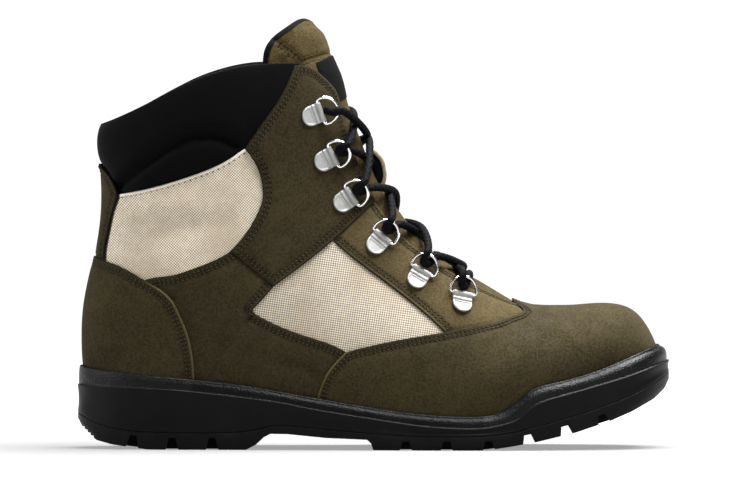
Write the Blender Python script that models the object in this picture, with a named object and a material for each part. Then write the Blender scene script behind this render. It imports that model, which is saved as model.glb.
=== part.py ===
"""Field boot, right foot: lasted upper, nubuck overlays, cup midsole and lugged outsole.

+X runs to the toe, +Z up and +Y to the inner side of the foot. The floor is Z = 0.
Tables and sizes are in millimetres and become metres where a mesh is made.
"""

import math

import bmesh
import bpy
import numpy as np
from mathutils import Matrix, Vector

MM = 0.001
OUTER = -1.0
INNER = 1.0
SIDE_NAMES = {OUTER: "outer", INNER: "inner"}

# Layers of the wall, measured inwards from the outside of the upper leather layer
LEATHER_FACE = 0.0
LOW_LEATHER_FACE = 0.5
LEATHER_BACK = 1.4
NYLON_FACE = 1.7
NYLON_BACK = 3.5
TONGUE_FACE = 4.0
TONGUE_BACK = 9.0
LABEL_FACE = 3.0
LABEL_BACK = 3.7
GAP = 0.3
INSOLE_MARGIN = 0.4

# Fan of sections from the toe to above the collar. Each runs from the ridge or lacing line
# to the base line, which follows the insole edge and then climbs the back of the heel.
SECTION_COLUMNS = (
    "ridge_x", "ridge_z", "base_x", "base_z", "swing",
    "outer_width", "inner_width", "base_share", "belly", "crown",
)
SECTIONS = (
    (148.0, 39.0, 148.0, 38.5, 6.0, 1.0, 1.0, 0.97, 0.60, 2.0),
    (148.4, 45.5, 143.5, 36.8, 5.6, 16.0, 15.6, 0.97, 0.60, 2.1),
    (146.6, 53.2, 136.0, 33.4, 5.4, 26.0, 25.0, 0.97, 0.60, 2.15),
    (143.3, 60.6, 126.0, 29.4, 5.0, 33.8, 32.4, 0.97, 0.62, 2.2),
    (138.2, 68.0, 114.5, 25.0, 4.5, 39.6, 38.0, 0.97, 0.64, 2.25),
    (131.0, 73.0, 102.5, 20.6, 3.9, 44.0, 42.4, 0.97, 0.66, 2.3),
    (120.5, 74.8, 90.5, 16.6, 3.1, 47.4, 46.0, 0.97, 0.68, 2.3),
    (108.0, 74.3, 79.0, 13.8, 2.3, 49.8, 48.4, 0.97, 0.70, 2.25),
    (95.0, 73.7, 67.0, 12.2, 1.5, 51.2, 49.4, 0.97, 0.70, 2.2),
    (83.0, 74.4, 53.0, 11.5, 0.7, 51.8, 49.0, 0.97, 0.70, 2.1),
    (71.5, 78.2, 37.0, 12.0, 0.0, 51.2, 47.2, 0.97, 0.70, 2.05),
    (59.5, 85.8, 17.0, 13.8, -0.6, 48.4, 44.6, 0.96, 0.70, 2.0),
    (47.0, 94.8, -7.0, 16.8, -1.0, 45.8, 41.6, 0.94, 0.68, 2.0),
    (35.5, 103.8, -36.0, 20.0, -1.2, 43.2, 39.6, 0.91, 0.64, 2.0),
    (25.5, 114.2, -68.0, 23.0, -1.0, 41.2, 39.0, 0.88, 0.60, 2.0),
    (17.5, 125.0, -99.0, 25.2, -0.6, 40.2, 39.0, 0.86, 0.57, 2.0),
    (10.8, 134.0, -122.5, 26.5, -0.3, 39.6, 39.0, 0.81, 0.54, 2.0),
    (6.2, 141.8, -137.0, 28.0, 0.0, 39.2, 38.8, 0.63, 0.52, 2.0),
    (3.0, 148.5, -146.0, 32.0, 0.0, 39.0, 38.6, 0.36, 0.50, 2.0),
    (0.0, 155.5, -150.2, 41.0, 0.0, 38.8, 38.4, 0.0, 0.49, 2.0),
    (-3.0, 163.5, -151.2, 56.0, 0.0, 38.6, 38.4, 0.0, 0.48, 2.0),
    (-5.8, 171.5, -150.4, 73.0, 0.0, 38.6, 38.4, 0.0, 0.48, 2.0),
    (-8.6, 179.5, -147.2, 90.0, 0.0, 38.8, 38.6, 0.0, 0.48, 2.0),
    (-11.4, 187.5, -143.6, 107.0, 0.0, 39.4, 39.2, 0.0, 0.48, 2.0),
    (-14.0, 195.5, -141.6, 124.0, 0.0, 40.2, 40.0, 0.0, 0.48, 2.0),
    (-16.5, 203.5, -141.6, 141.0, 0.0, 41.0, 40.8, 0.0, 0.48, 2.0),
    (-19.3, 211.5, -142.0, 158.0, 0.0, 41.8, 41.6, 0.0, 0.48, 2.0),
    (-22.5, 219.5, -142.0, 175.0, 0.0, 42.6, 42.4, 0.0, 0.48, 2.0),
    (-26.5, 227.5, -141.5, 192.0, 0.0, 43.4, 43.2, 0.0, 0.48, 2.0),
)
HEEL_CROWN = 2.35
HEEL_CLOSES = 19.0
FIRST_SECTION = 0.4
LAST_SECTION = 27.6
WHOLE = (FIRST_SECTION, LAST_SECTION)
FORM_LINES = 27
FORM_STEPS = 7
FAR = 200.0

# Seam lines in the side view, as x and z
COUNTER_SEAM = (
    (-170.0, 101.0), (-145.0, 99.7), (-140.3, 97.6), (-130.4, 94.0), (-118.5, 87.4),
    (-106.0, 79.3), (-99.3, 68.0), (-95.4, 58.1), (-92.8, 44.0), (-92.0, 10.0),
)
BACKSTAY_EDGE = (
    (-170.0, 148.0), (-143.0, 147.6), (-139.6, 146.0), (-135.8, 139.6), (-133.3, 131.6),
    (-134.9, 125.4), (-137.6, 115.5), (-139.8, 104.9), (-140.3, 97.6),
)
COLLAR_SEAM = ((-133.3, 131.6), (-115.9, 134.8), (-96.9, 140.2), (-79.5, 146.9), (-66.1, 155.2))
ANKLE_REAR = ((-66.1, 155.2), (-57.9, 167.1), (-48.9, 179.6), (-43.2, 190.7), (-39.9, 198.4))
WINDOW_FRONT = (
    (-66.1, 155.2), (-59.8, 145.9), (-57.0, 135.5), (-57.3, 127.7), (-60.7, 119.8),
    (-66.3, 110.8), (-73.8, 102.3),
)
QUARTER_TOP = (
    (-73.8, 102.3), (-82.1, 97.6), (-95.6, 92.4), (-104.5, 89.8), (-112.6, 88.8), (-118.5, 87.4),
)
ANKLE_FOOT = ((-73.8, 102.3), (-62.4, 92.9), (-51.5, 84.2))
ANKLE_LOW = ((-51.5, 84.2), (-35.0, 96.4), (-20.7, 108.0), (-9.0, 118.5), (1.4, 128.6))
QUARTER_TIP = (
    (-51.5, 84.2), (-56.6, 78.4), (-61.3, 73.4), (-60.4, 69.9), (-43.7, 61.8), (-24.7, 55.5),
    (-14.1, 50.6),
)
EYESTAY_LOW = ((-20.7, 108.0), (-8.3, 97.5), (11.3, 83.0), (28.5, 69.0), (37.0, 60.9))
VAMP_REAR = ((-30.5, 10.0), (-29.2, 25.4), (-25.6, 36.3), (-20.4, 44.1), (-14.1, 50.6))
VAMP_TOP = (
    (-14.1, 50.6), (2.5, 54.6), (20.6, 58.2), (37.0, 60.9), (59.6, 65.4), (69.4, 68.8), (75.5, 72.0),
    (79.4, 75.0), (82.5, 79.5), (84.0, 88.0),
)
THROAT_EDGE = (
    (-39.9, 198.4), (-32.3, 197.3), (-26.6, 193.6), (-19.3, 185.8), (-16.2, 176.0), (-12.1, 160.4),
    (-7.9, 148.5), (1.4, 128.6), (15.4, 110.6), (22.7, 104.3), (36.2, 94.5), (55.4, 84.1),
    (68.4, 77.9), (75.0, 75.5), (79.4, 75.0), (84.0, 76.5),
)
TONGUE_TOP = (
    (-56.8, 201.2), (-54.6, 208.8), (-47.4, 216.5), (-40.6, 220.6), (-35.4, 222.8), (-29.7, 221.4),
    (-15.0, 216.0),
)
TONGUE_FRONT = ((60.0, 150.0), (120.0, 90.0))
TONGUE_REAR = (
    (92.0, 62.0), (76.0, 60.0), (50.0, 71.0), (28.0, 84.0), (6.0, 103.0), (-9.0, 124.0), (-19.0, 146.0),
    (-27.0, 166.0), (-33.0, 184.0), (-36.0, 197.0), (-37.0, 201.2),
)
LABEL_OUTLINE = ((-40.0, 206.5), (0.0, 203.0), (20.0, 183.0), (-30.0, 183.0))
LABEL_HALF_WIDTH = 9.0
KEEPER_ARC = ((-2.0, 152.6), (3.2, 151.6), (6.6, 147.6), (8.4, 142.8), (8.2, 139.2), (6.0, 136.4))
KEEPER_THICK = 1.8
KEEPER_HALF_WIDTH = 5.0

# Heights along the sole, as x and z
RIM_LINE = (
    (-160.0, 43.5), (-150.5, 43.0), (-146.5, 41.8), (-130.8, 39.8), (-114.8, 38.0), (-98.9, 36.8),
    (-67.2, 33.3), (-38.0, 28.3), (-1.0, 22.0), (23.0, 18.8), (46.7, 17.4), (62.6, 18.6),
    (70.5, 22.4), (76.0, 26.8), (80.5, 30.6), (88.0, 33.6), (100.5, 36.5), (117.0, 41.5),
    (133.6, 48.2), (146.8, 53.5), (160.0, 58.0),
)
GROOVE_LINE = (
    (-160.0, 33.4), (-138.6, 32.6), (-111.6, 31.4), (-88.0, 29.5), (-51.4, 25.1), (-32.6, 21.5),
    (-1.0, 16.4), (23.0, 12.9), (38.8, 11.7), (54.6, 11.4), (66.6, 13.4), (76.0, 17.0),
    (84.0, 23.8), (100.5, 29.1), (117.0, 33.7), (133.6, 38.6), (150.0, 44.6), (160.0, 48.0),
)
TREAD_LINE = (
    (-160.0, 22.0), (-150.0, 16.5), (-140.0, 12.0), (-125.0, 9.4), (-100.0, 8.6), (-66.0, 9.4),
    (-50.0, 12.6), (-25.0, 10.6), (0.0, 8.4), (20.0, 7.2), (55.0, 7.2), (75.0, 9.8),
    (95.0, 14.9), (115.0, 21.0), (135.0, 28.6), (150.0, 37.0), (160.0, 44.0),
)
FLOOR_LINE = (
    (-160.0, 20.0), (-152.0, 12.4), (-143.4, 4.5), (-135.0, 2.4), (-126.0, 1.2), (-116.0, 0.0), (58.0, 0.0),
    (70.0, 1.8), (84.0, 4.3), (104.0, 9.0), (122.0, 14.8), (133.6, 19.7), (145.0, 25.9), (151.0, 31.0),
    (160.0, 40.0),
)
FLARE_LINE = (
    (-160.0, 0.8), (-120.0, 1.4), (-40.0, 2.2), (40.0, 2.8), (100.0, 3.4), (130.0, 3.6), (160.0, 3.8),
)
RIM_THICK = 2.1
RIM_ROUND = 0.9
WALL_STEP = 0.8
TREAD_STEP = 0.7
TREAD_DRAFT = 1.4
SOLE_STATIONS = 28
END_CROWDING = 0.10
TOE_POINT = (146.8, 5.4)
HEEL_POINT = (-150.6, 0.0)

# Tread
ARCH_OUTLINE = (
    (-65.7, -2.0), (-65.7, 0.0), (-60.4, 2.8), (-56.4, 6.6), (-53.0, 8.3), (-44.0, 8.2), (-24.6, 6.3),
    (-3.2, 5.4), (-1.2, 3.6), (0.0, 0.0), (0.0, -2.0),
)
HEEL_NOTCHES = (-124.6, -103.8, -83.1)
FORE_NOTCHES = (16.8, 37.8, 59.6, 80.2, 99.6, 119.1)
NOTCH_MOUTH = 6.2
NOTCH_TOP = 3.4
HEEL_NOTCH_RISE = 6.2
FORE_NOTCH_RISE = 4.6
NOTCH_REACH = 20.0
CENTRE_GROOVE = 3.4
CENTRE_RISE = 3.6
CENTRE_LAND = 27.0
HEEL_BEVEL = ((-151.0, 11.4), (-144.4, 5.4))
BEVEL_TEETH = 4
TOOTH_SIZE = 1.1
TOOTH_DEPTH = 2.0
CUT_BELOW = 4.0

INSOLE_THICK = 4.0
INSOLE_SECTIONS = (0.3, 18.6)
INSOLE_STEPS = 22

# Collar roll: side-view lines of its lower and upper edge from the ankle panel to the back
COLLAR_LOW = (
    (-65.9, 156.2), (-79.5, 147.7), (-96.9, 141.0), (-115.9, 135.7), (-129.2, 134.2), (-134.0, 141.2),
    (-138.4, 147.6), (-142.0, 149.2),
)
COLLAR_HIGH = (
    (-40.4, 199.3), (-62.0, 199.0), (-83.0, 194.4), (-100.0, 187.6), (-116.0, 179.4), (-127.0, 174.0),
    (-136.0, 170.2), (-142.0, 168.2),
)
COLLAR_STATIONS = 14
COLLAR_RINGS = 5
COLLAR_EDGE_FACE = 1.2
COLLAR_EDGE_BACK = 5.0
COLLAR_PUFF = 2.6
COLLAR_LINING_PUFF = 4.0

# Lacing hardware, top to bottom: knuckle position in the side view and the angle of its clip
RING_COLUMNS = ("x", "z", "clip_angle")
RINGS = (
    (-27.2, 174.8, 20.0),
    (-21.4, 152.2, 27.0),
    (-12.4, 131.4, 35.0),
    (5.0, 110.2, 50.0),
    (25.6, 92.6, 60.0),
    (47.6, 80.6, 78.0),
)
KNUCKLE_RADIUS = 2.1
KNUCKLE_BORE = 1.3
CLIP_WIDTH = 8.6
CLIP_LENGTH = 10.0
CLIP_NECK = 3.4
CLIP_THICK = 1.4
RING_WIRE = 0.95
RING_HALF_WIDTH = 5.6
RING_REACH = 8.6
RING_TILT = 32.0

LACE_RADIUS = 1.9
LACE_TURN = 3.4
OVER_LIFT = 2.3
UNDER_LIFT = -1.8
CROSSING_HEIGHTS = (175.0, 161.0, 130.5, 113.0, 97.5)
LOWEST_BAR_HEIGHT = 87.0

MATERIAL_LOOKS = {
    "rubber": ((0.012, 0.012, 0.012), 0.0, 0.6),
    "footbed": ((0.03, 0.03, 0.03), 0.0, 0.9),
    "nylon": ((0.5, 0.45, 0.37), 0.0, 0.8),
    "nubuck": ((0.065, 0.052, 0.026), 0.0, 0.9),
    "textile": ((0.008, 0.008, 0.008), 0.0, 0.9),
    "steel": ((0.8, 0.8, 0.8), 1.0, 0.15),
    "braid": ((0.012, 0.011, 0.012), 0.0, 0.8),
}


def spline_through(rows):
    """Natural cubic spline through the rows, one row for each whole step of its parameter."""
    knots = np.asarray(rows, float)
    count = len(knots)
    system = np.eye(count)
    right = np.zeros_like(knots)
    for i in range(1, count - 1):
        system[i, i - 1:i + 2] = 1.0, 4.0, 1.0
        right[i] = 6.0 * (knots[i - 1] - 2.0 * knots[i] + knots[i + 1])
    bend = np.linalg.solve(system, right)

    def at(t):
        i = int(min(max(math.floor(t), 0), count - 2))
        u = t - i
        v = 1.0 - u
        return v * knots[i] + u * knots[i + 1] + ((v**3 - v) * bend[i] + (u**3 - u) * bend[i + 1]) / 6.0

    return at


def smooth_line(points, steps=2):
    """Points of a smooth curve through a short table."""
    at = spline_through(points)
    return [at(k / steps) for k in range((len(points) - 1) * steps + 1)]


def profile(points):
    """Height against x, smooth through a short table."""
    line = np.array(smooth_line(points, 8))
    return lambda x: float(np.interp(x, line[:, 0], line[:, 1]))


def straight_profile(points):
    """Height against x, straight between the rows of a short table."""
    line = np.array(points)
    return lambda x: float(np.interp(x, line[:, 0], line[:, 1]))


form_at = spline_through(SECTIONS)
rim_z = profile(RIM_LINE)
groove_z = profile(GROOVE_LINE)
tread_z = profile(TREAD_LINE)
floor_z = straight_profile(FLOOR_LINE)
flare = profile(FLARE_LINE)


def section(t):
    """Sizes of the section at t, by column name, with the back closed above the heel corner."""
    row = dict(zip(SECTION_COLUMNS, form_at(t)))
    if t >= HEEL_CLOSES or row["base_share"] < 0.03:
        row["base_share"] = 0.0
    return row


def oval(s, belly, crown, base_share):
    """Half width at share s of the way from ridge to base, where 1 is the belly."""
    if s < belly:
        return (1.0 - (1.0 - s / belly) ** crown) ** (1.0 / crown)
    share = min(max(base_share, 0.0), 1.0)
    cut = (1.0 - share**HEEL_CROWN) ** (1.0 / HEEL_CROWN)
    return max(0.0, 1.0 - (cut * (s - belly) / (1.0 - belly)) ** HEEL_CROWN) ** (1.0 / HEEL_CROWN)


def form_point(t, s, side):
    """Point of the outside of the leather."""
    row = section(t)
    width = row["outer_width"] if side == OUTER else row["inner_width"]
    y = row["swing"] + side * width * oval(s, row["belly"], row["crown"], row["base_share"])
    x = row["ridge_x"] + s * (row["base_x"] - row["ridge_x"])
    z = row["ridge_z"] + s * (row["base_z"] - row["ridge_z"])
    return np.array((x, y, z))


def one_sided_normal(t, s, side):
    """Outward normal from the slopes of one side of the form."""
    s_low, s_high = max(0.0, s - 0.004), min(1.0, s + 0.004)
    along = form_point(t + 0.02, s, side) - form_point(t - 0.02, s, side)
    across = form_point(t, s_high, side) - form_point(t, s_low, side)
    normal = -side * np.cross(along, across)
    return normal / np.linalg.norm(normal)


def form_normal(t, s, side):
    """Outward normal, the mean of both sides where they meet."""
    closed_heel = s > 0.999 and section(t)["base_share"] < 0.02
    if s > 0.001 and not closed_heel:
        return one_sided_normal(t, s, side)
    normal = one_sided_normal(t, s, OUTER) + one_sided_normal(t, s, INNER)
    return normal / np.linalg.norm(normal)


def skin_point(t, s, side, depth):
    """Point at a depth below the outside of the leather."""
    return form_point(t, s, side) - depth * form_normal(t, s, side)


def find_on_form(x, z):
    """Section and share of the wall point seen at x, z from the side."""
    def side_of(t):
        row = section(t)
        run_x, run_z = row["base_x"] - row["ridge_x"], row["base_z"] - row["ridge_z"]
        return run_x * (z - row["ridge_z"]) - run_z * (x - row["ridge_x"])

    low, high = FIRST_SECTION, LAST_SECTION + 0.4
    rising = side_of(high) > side_of(low)
    for _ in range(40):
        middle = (low + high) / 2.0
        if (side_of(middle) > 0.0) == rising:
            high = middle
        else:
            low = middle
    row = section(low)
    run = np.array((row["base_x"] - row["ridge_x"], row["base_z"] - row["ridge_z"]))
    gone = np.array((x - row["ridge_x"], z - row["ridge_z"]))
    return low, float(min(max(gone @ run / (run @ run), 0.0), 1.0))


def nearest_index(line, point):
    """Index of the point of a line nearest to a given one."""
    return int(np.argmin([np.hypot(p[0] - point[0], p[1] - point[1]) for p in line]))


def stretch(table, start, end):
    """Part of a smooth seam line from start to end, in that direction."""
    line = smooth_line(table)
    first, last = nearest_index(line, start), nearest_index(line, end)
    return line[first:last + 1] if first <= last else line[last:first + 1][::-1]


def loop_of(*stretches):
    """Closed outline from stretches laid end to end, with no point twice."""
    outline = []
    for part in stretches:
        for point in part:
            if not outline or np.hypot(*(np.array(point[:2]) - outline[-1])) > 0.4:
                outline.append(np.array(point[:2], float))
    if np.hypot(*(outline[0] - outline[-1])) < 0.4:
        outline.pop()
    return outline


def inset(outline, distance):
    """Outline drawn in by a distance."""
    count = len(outline)
    area = sum(outline[i - 1][0] * outline[i][1] - outline[i][0] * outline[i - 1][1] for i in range(count))
    turn = 1.0 if area > 0.0 else -1.0
    result = []
    for i in range(count):
        before = outline[i] - outline[i - 1]
        after = outline[(i + 1) % count] - outline[i]
        normal = np.zeros(2)
        for edge in (before, after):
            normal += turn * np.array((-edge[1], edge[0])) / np.linalg.norm(edge)
        length = np.linalg.norm(normal)
        result.append(outline[i] + normal / length * distance * min(2.0 / length, 2.0))
    return result


def make_collection(name):
    """New collection in the scene."""
    collection = bpy.data.collections.new(name)
    bpy.context.scene.collection.children.link(collection)
    return collection


def make_material(name):
    """Principled material from the table of looks."""
    colour, metallic, roughness = MATERIAL_LOOKS[name]
    material = bpy.data.materials.new(name)
    material.use_nodes = True
    shader = material.node_tree.nodes["Principled BSDF"]
    shader.inputs["Base Color"].default_value = (*colour, 1.0)
    shader.inputs["Metallic"].default_value = metallic
    shader.inputs["Roughness"].default_value = roughness
    return material


for old in list(bpy.data.objects):
    bpy.data.objects.remove(old)
BOOT = make_collection("field_boot")
CUTTERS = make_collection("cutters")
MATERIALS = {name: make_material(name) for name in MATERIAL_LOOKS}


def add_part(name, mesh, material):
    """Object for one sub-part."""
    part = bpy.data.objects.new(name, mesh)
    if not mesh.materials:
        mesh.materials.append(MATERIALS[material])
    BOOT.objects.link(part)
    return part


def add_cutter(name, mesh):
    """Object that cuts others and isn't a part."""
    cutter = bpy.data.objects.new(name, mesh)
    cutter.hide_render = True
    cutter.display_type = "WIRE"
    CUTTERS.objects.link(cutter)
    return cutter


def cut(part, cutter, operation):
    """Boolean modifier on a part."""
    modifier = part.modifiers.new(cutter.name, "BOOLEAN")
    modifier.operation = operation
    modifier.solver = "EXACT"
    modifier.object = cutter


def closed_mesh(name, points, faces):
    """Mesh of a closed loft, welded, with faces turned outwards and split one way."""
    mesh = bpy.data.meshes.new(name)
    mesh.from_pydata([tuple(MM * np.asarray(p)) for p in points], [], faces)
    work = bmesh.new()
    work.from_mesh(mesh)
    bmesh.ops.remove_doubles(work, verts=work.verts, dist=0.00002)
    bmesh.ops.triangulate(work, faces=work.faces, quad_method="FIXED")
    bmesh.ops.recalc_face_normals(work, faces=work.faces)
    work.to_mesh(mesh)
    work.free()
    return mesh


def prism_mesh(name, outlines, half_depth):
    """Filled flat outlines in X and Y, given a thickness about Z = 0."""
    curve = bpy.data.curves.new(name, "CURVE")
    curve.dimensions = "2D"
    curve.fill_mode = "BOTH"
    curve.extrude = half_depth * MM
    for outline in outlines:
        line = curve.splines.new("POLY")
        line.points.add(len(outline) - 1)
        for point, place in zip(line.points, outline):
            point.co = (place[0] * MM, place[1] * MM, 0.0, 1.0)
        line.use_cyclic_u = True
    holder = bpy.data.objects.new(name, curve)
    mesh = bpy.data.meshes.new_from_object(holder)
    bpy.data.objects.remove(holder)
    work = bmesh.new()
    work.from_mesh(mesh)
    bmesh.ops.remove_doubles(work, verts=work.verts, dist=0.000002)
    bmesh.ops.recalc_face_normals(work, faces=work.faces)
    work.to_mesh(mesh)
    work.free()
    return mesh


def side_prism(name, outline, y_from, y_to):
    """Cutter with a side-view outline that reaches across Y."""
    mesh = prism_mesh(name, [outline], abs(y_to - y_from) / 2.0)
    middle = Matrix.Translation((0.0, MM * (y_from + y_to) / 2.0, 0.0))
    mesh.transform(middle @ Matrix.Rotation(math.pi / 2, 4, "X"))
    return mesh


def form_rows(depth):
    """Rows of points over the form at one depth, from outer base over the ridge to inner base."""
    shares = [0.5 - 0.5 * math.cos(math.pi * k / FORM_STEPS) for k in range(FORM_STEPS + 1)]
    rows = []
    for t in np.linspace(FIRST_SECTION, LAST_SECTION, FORM_LINES):
        outer = [skin_point(t, s, OUTER, depth) for s in reversed(shares)]
        inner = [skin_point(t, s, INNER, depth) for s in shares[1:]]
        rows.append((section(t)["base_share"] > 0.02, outer + inner))
    return rows


def line_number(t):
    """Number of the form line nearest to a section."""
    return round((t - FIRST_SECTION) / (LAST_SECTION - FIRST_SECTION) * (FORM_LINES - 1))


def shell_mesh(name, face_depth, back_depth, sections=WHOLE):
    """Closed layer of the wall between two depths and two sections."""
    first, last = line_number(sections[0]), line_number(sections[1])
    face = form_rows(face_depth)[first:last + 1]
    back = form_rows(back_depth)[first:last + 1]
    width = len(face[0][1])
    points = [p for _, row in face for p in row] + [p for _, row in back for p in row]
    offset = len(face) * width
    faces = []
    for i in range(len(face) - 1):
        for j in range(width - 1):
            a, b = i * width + j, (i + 1) * width + j
            faces.append((a, a + 1, b + 1, b))
            faces.append((offset + a, offset + b, offset + b + 1, offset + a + 1))
        if face[i][0]:
            for a, b in ((i * width, (i + 1) * width), ((i + 1) * width - 1, (i + 2) * width - 1)):
                faces.append((a, b, offset + b, offset + a))
    for i in (0, len(face) - 1):
        for j in range(width - 1):
            a = i * width + j
            faces.append((a, a + 1, offset + a + 1, offset + a))
    return closed_mesh(name, points, faces)


def last_mesh(name, depth, drop):
    """Closed solid inside the form at a depth, with its base lowered by drop."""
    rows = form_rows(depth)
    width = len(rows[0][1])
    points = []
    for open_base, row in rows:
        for j, p in enumerate(row):
            lowered = open_base and j in (0, width - 1)
            points.append(p - (0.0, 0.0, drop) if lowered else p)
    faces = []
    for i in range(len(rows) - 1):
        for j in range(width - 1):
            a, b = i * width + j, (i + 1) * width + j
            faces.append((a, a + 1, b + 1, b))
        if rows[i][0]:
            a, b = i * width, (i + 1) * width
            faces.append((a, b, b + width - 1, a + width - 1))
    for i in (0, len(rows) - 1):
        faces.append(tuple(range(i * width, (i + 1) * width)))
    return closed_mesh(name, points, faces)


def rim_points(side, count=90):
    """Plan points where the form meets the top of the rim, from toe to heel."""
    points = []
    for t in np.linspace(0.5, 20.5, count):
        low, high = 0.0, 1.0
        top, base = form_point(t, low, side), form_point(t, high, side)
        if top[2] < rim_z(top[0]) or base[2] > rim_z(base[0]):
            continue
        for _ in range(30):
            middle = (low + high) / 2.0
            p = form_point(t, middle, side)
            if p[2] > rim_z(p[0]):
                low = middle
            else:
                high = middle
        points.append(form_point(t, low, side)[:2])
    return points


def sole_line():
    """Plan outline of the form at the rim: places and outward normals, toe to heel and back."""
    outer, inner = rim_points(OUTER), rim_points(INNER)
    toe = [np.array(TOE_POINT)]
    heel = [np.array(HEEL_POINT)]
    places = []
    for half in (toe + outer + heel, heel + inner[::-1] + toe):
        line = np.array(half)
        along = np.concatenate(([0.0], np.cumsum(np.hypot(*np.diff(line, axis=0).T))))
        for k in range(SOLE_STATIONS):
            u = k / SOLE_STATIONS
            share = u - END_CROWDING * math.sin(2.0 * math.pi * u)
            places.append([np.interp(share * along[-1], along, line[:, c]) for c in (0, 1)])
    places = np.array(places)
    tangents = np.roll(places, -1, axis=0) - np.roll(places, 1, axis=0)
    normals = np.stack((-tangents[:, 1], tangents[:, 0]), axis=1) * -1.0
    normals /= np.linalg.norm(normals, axis=1)[:, None]
    centre = places.mean(axis=0)
    if np.sum((places - centre) * normals) < 0.0:
        normals = -normals
    return places, normals


def sole_solid(name, loops):
    """Closed solid from loops of (offset by x, height by x), bottom to top, capped across."""
    places, normals = sole_line()
    count = len(places)
    points, faces = [], []
    for offset_at, height_at in loops:
        for place, normal in zip(places, normals):
            x, y = place + normal * offset_at(place[0])
            points.append((x, y, height_at(x)))
    for level in range(len(loops) - 1):
        for k in range(count):
            a, b = level * count + k, level * count + (k + 1) % count
            faces.append((a, b, b + count, a + count))
    for level in (0, len(loops) - 1):
        base = level * count
        for k in range(SOLE_STATIONS):
            a, b = base + k, base + k + 1
            c, d = base + (count - k - 1) % count, base + (count - k) % count
            faces.append(tuple(dict.fromkeys((a, b, c, d))))
    return closed_mesh(name, points, faces)


def half_width(x, side):
    """Width of the tread from the centre line at x."""
    places, _ = sole_line()
    half = places[:SOLE_STATIONS + 1] if side == OUTER else places[SOLE_STATIONS:]
    order = np.argsort(half[:, 0])
    return abs(float(np.interp(x, half[order, 0], half[order, 1]))) + RIM_THICK + flare(x)


def build_sole():
    """Midsole cup and lugged outsole."""
    last = add_cutter("last_in_cup", last_mesh("last_in_cup", -GAP, GAP))
    midsole = sole_solid("midsole", (
        (lambda x: RIM_THICK + flare(x), lambda x: tread_z(x) + GAP),
        (lambda x: RIM_THICK + flare(x), lambda x: groove_z(x) - 0.5),
        (lambda x: RIM_THICK + 0.7 * flare(x) - WALL_STEP, lambda x: groove_z(x) + 0.3),
        (lambda x: RIM_THICK, lambda x: rim_z(x) - RIM_ROUND),
        (lambda x: RIM_THICK - 0.3 * RIM_ROUND, lambda x: rim_z(x) - 0.3 * RIM_ROUND),
        (lambda x: RIM_THICK - RIM_ROUND, rim_z),
    ))
    cup = add_part("midsole", midsole, "rubber")
    cut(cup, last, "DIFFERENCE")

    tread = sole_solid("outsole", (
        (lambda x: RIM_THICK + flare(x) - TREAD_STEP - TREAD_DRAFT, floor_z),
        (lambda x: RIM_THICK + flare(x) - TREAD_STEP, lambda x: 0.6 * floor_z(x) + 0.4 * tread_z(x)),
        (lambda x: RIM_THICK + flare(x) - TREAD_STEP, tread_z),
    ))
    outsole = add_part("outsole", tread, "rubber")
    tools = [side_prism("arch_cut", ARCH_OUTLINE, -FAR, FAR)]
    for places, rise in ((HEEL_NOTCHES, HEEL_NOTCH_RISE), (FORE_NOTCHES, FORE_NOTCH_RISE)):
        for x in places:
            outline = tread_cut(x, NOTCH_MOUTH, NOTCH_TOP, rise)
            for side in (OUTER, INNER):
                edge = half_width(x, side)
                tools.append(side_prism("notch", outline, side * (edge - NOTCH_REACH), side * FAR))
        for x in ((a + b) / 2.0 for a, b in zip(places, places[1:])):
            outline = tread_cut(x, CENTRE_GROOVE, 0.7 * CENTRE_GROOVE, CENTRE_RISE)
            y_from, y_to = CENTRE_LAND - half_width(x, OUTER), half_width(x, INNER) - CENTRE_LAND
            tools.append(side_prism("groove", outline, y_from, y_to))
    top, low = np.array(HEEL_BEVEL)
    size = TOOTH_SIZE / 2.0
    for k in range(BEVEL_TEETH):
        x, z = top + (low - top) * (k + 0.5) / BEVEL_TEETH
        corners = ((-size, -TOOTH_DEPTH), (size, -TOOTH_DEPTH), (size, size), (-size, size))
        tooth = [(x + dx, z + dz) for dx, dz in corners]
        tools.append(side_prism("tooth", tooth, -FAR, FAR))
    cut(outsole, add_cutter("tread_cuts", joined_mesh("tread_cuts", tools)), "DIFFERENCE")


def tread_cut(x, mouth, top, rise):
    """Outline of a cut that narrows upwards into the tread at x, square to the floor line there."""
    slope = math.atan2(floor_z(x + 5.0) - floor_z(x - 5.0), 10.0)
    shape = [(-mouth / 2, -CUT_BELOW), (mouth / 2, -CUT_BELOW), (top / 2, rise), (-top / 2, rise)]
    return [turn_point(p, slope, (x, floor_z(x))) for p in shape]


def turn_point(point, angle, place):
    """Point turned by an angle and moved to a place."""
    x = point[0] * math.cos(angle) - point[1] * math.sin(angle)
    z = point[0] * math.sin(angle) + point[1] * math.cos(angle)
    return np.array((x + place[0], z + place[1]))


def joined_mesh(name, meshes):
    """One mesh of several that don't touch."""
    work = bmesh.new()
    for mesh in meshes:
        work.from_mesh(mesh)
    joined = bpy.data.meshes.new(name)
    work.to_mesh(joined)
    work.free()
    return joined


def build_insole():
    """Removable footbed on the floor of the cup."""
    rows = [section(t) for t in np.linspace(*INSOLE_SECTIONS, INSOLE_STEPS)]
    low = [np.array((row["base_x"], row["base_z"] + GAP)) for row in rows]
    low = [low[0] + (20.0, 12.0), *low, low[-1] + (-20.0, 6.0)]
    high = [p + (0.0, INSOLE_THICK) for p in reversed(low)]
    insole = add_part("insole", last_mesh("insole", NYLON_BACK + INSOLE_MARGIN, 1.0), "footbed")
    slab = side_prism("insole_slab", low + high, -FAR, FAR)
    cut(insole, add_cutter("insole_slab", slab), "INTERSECT")


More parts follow.
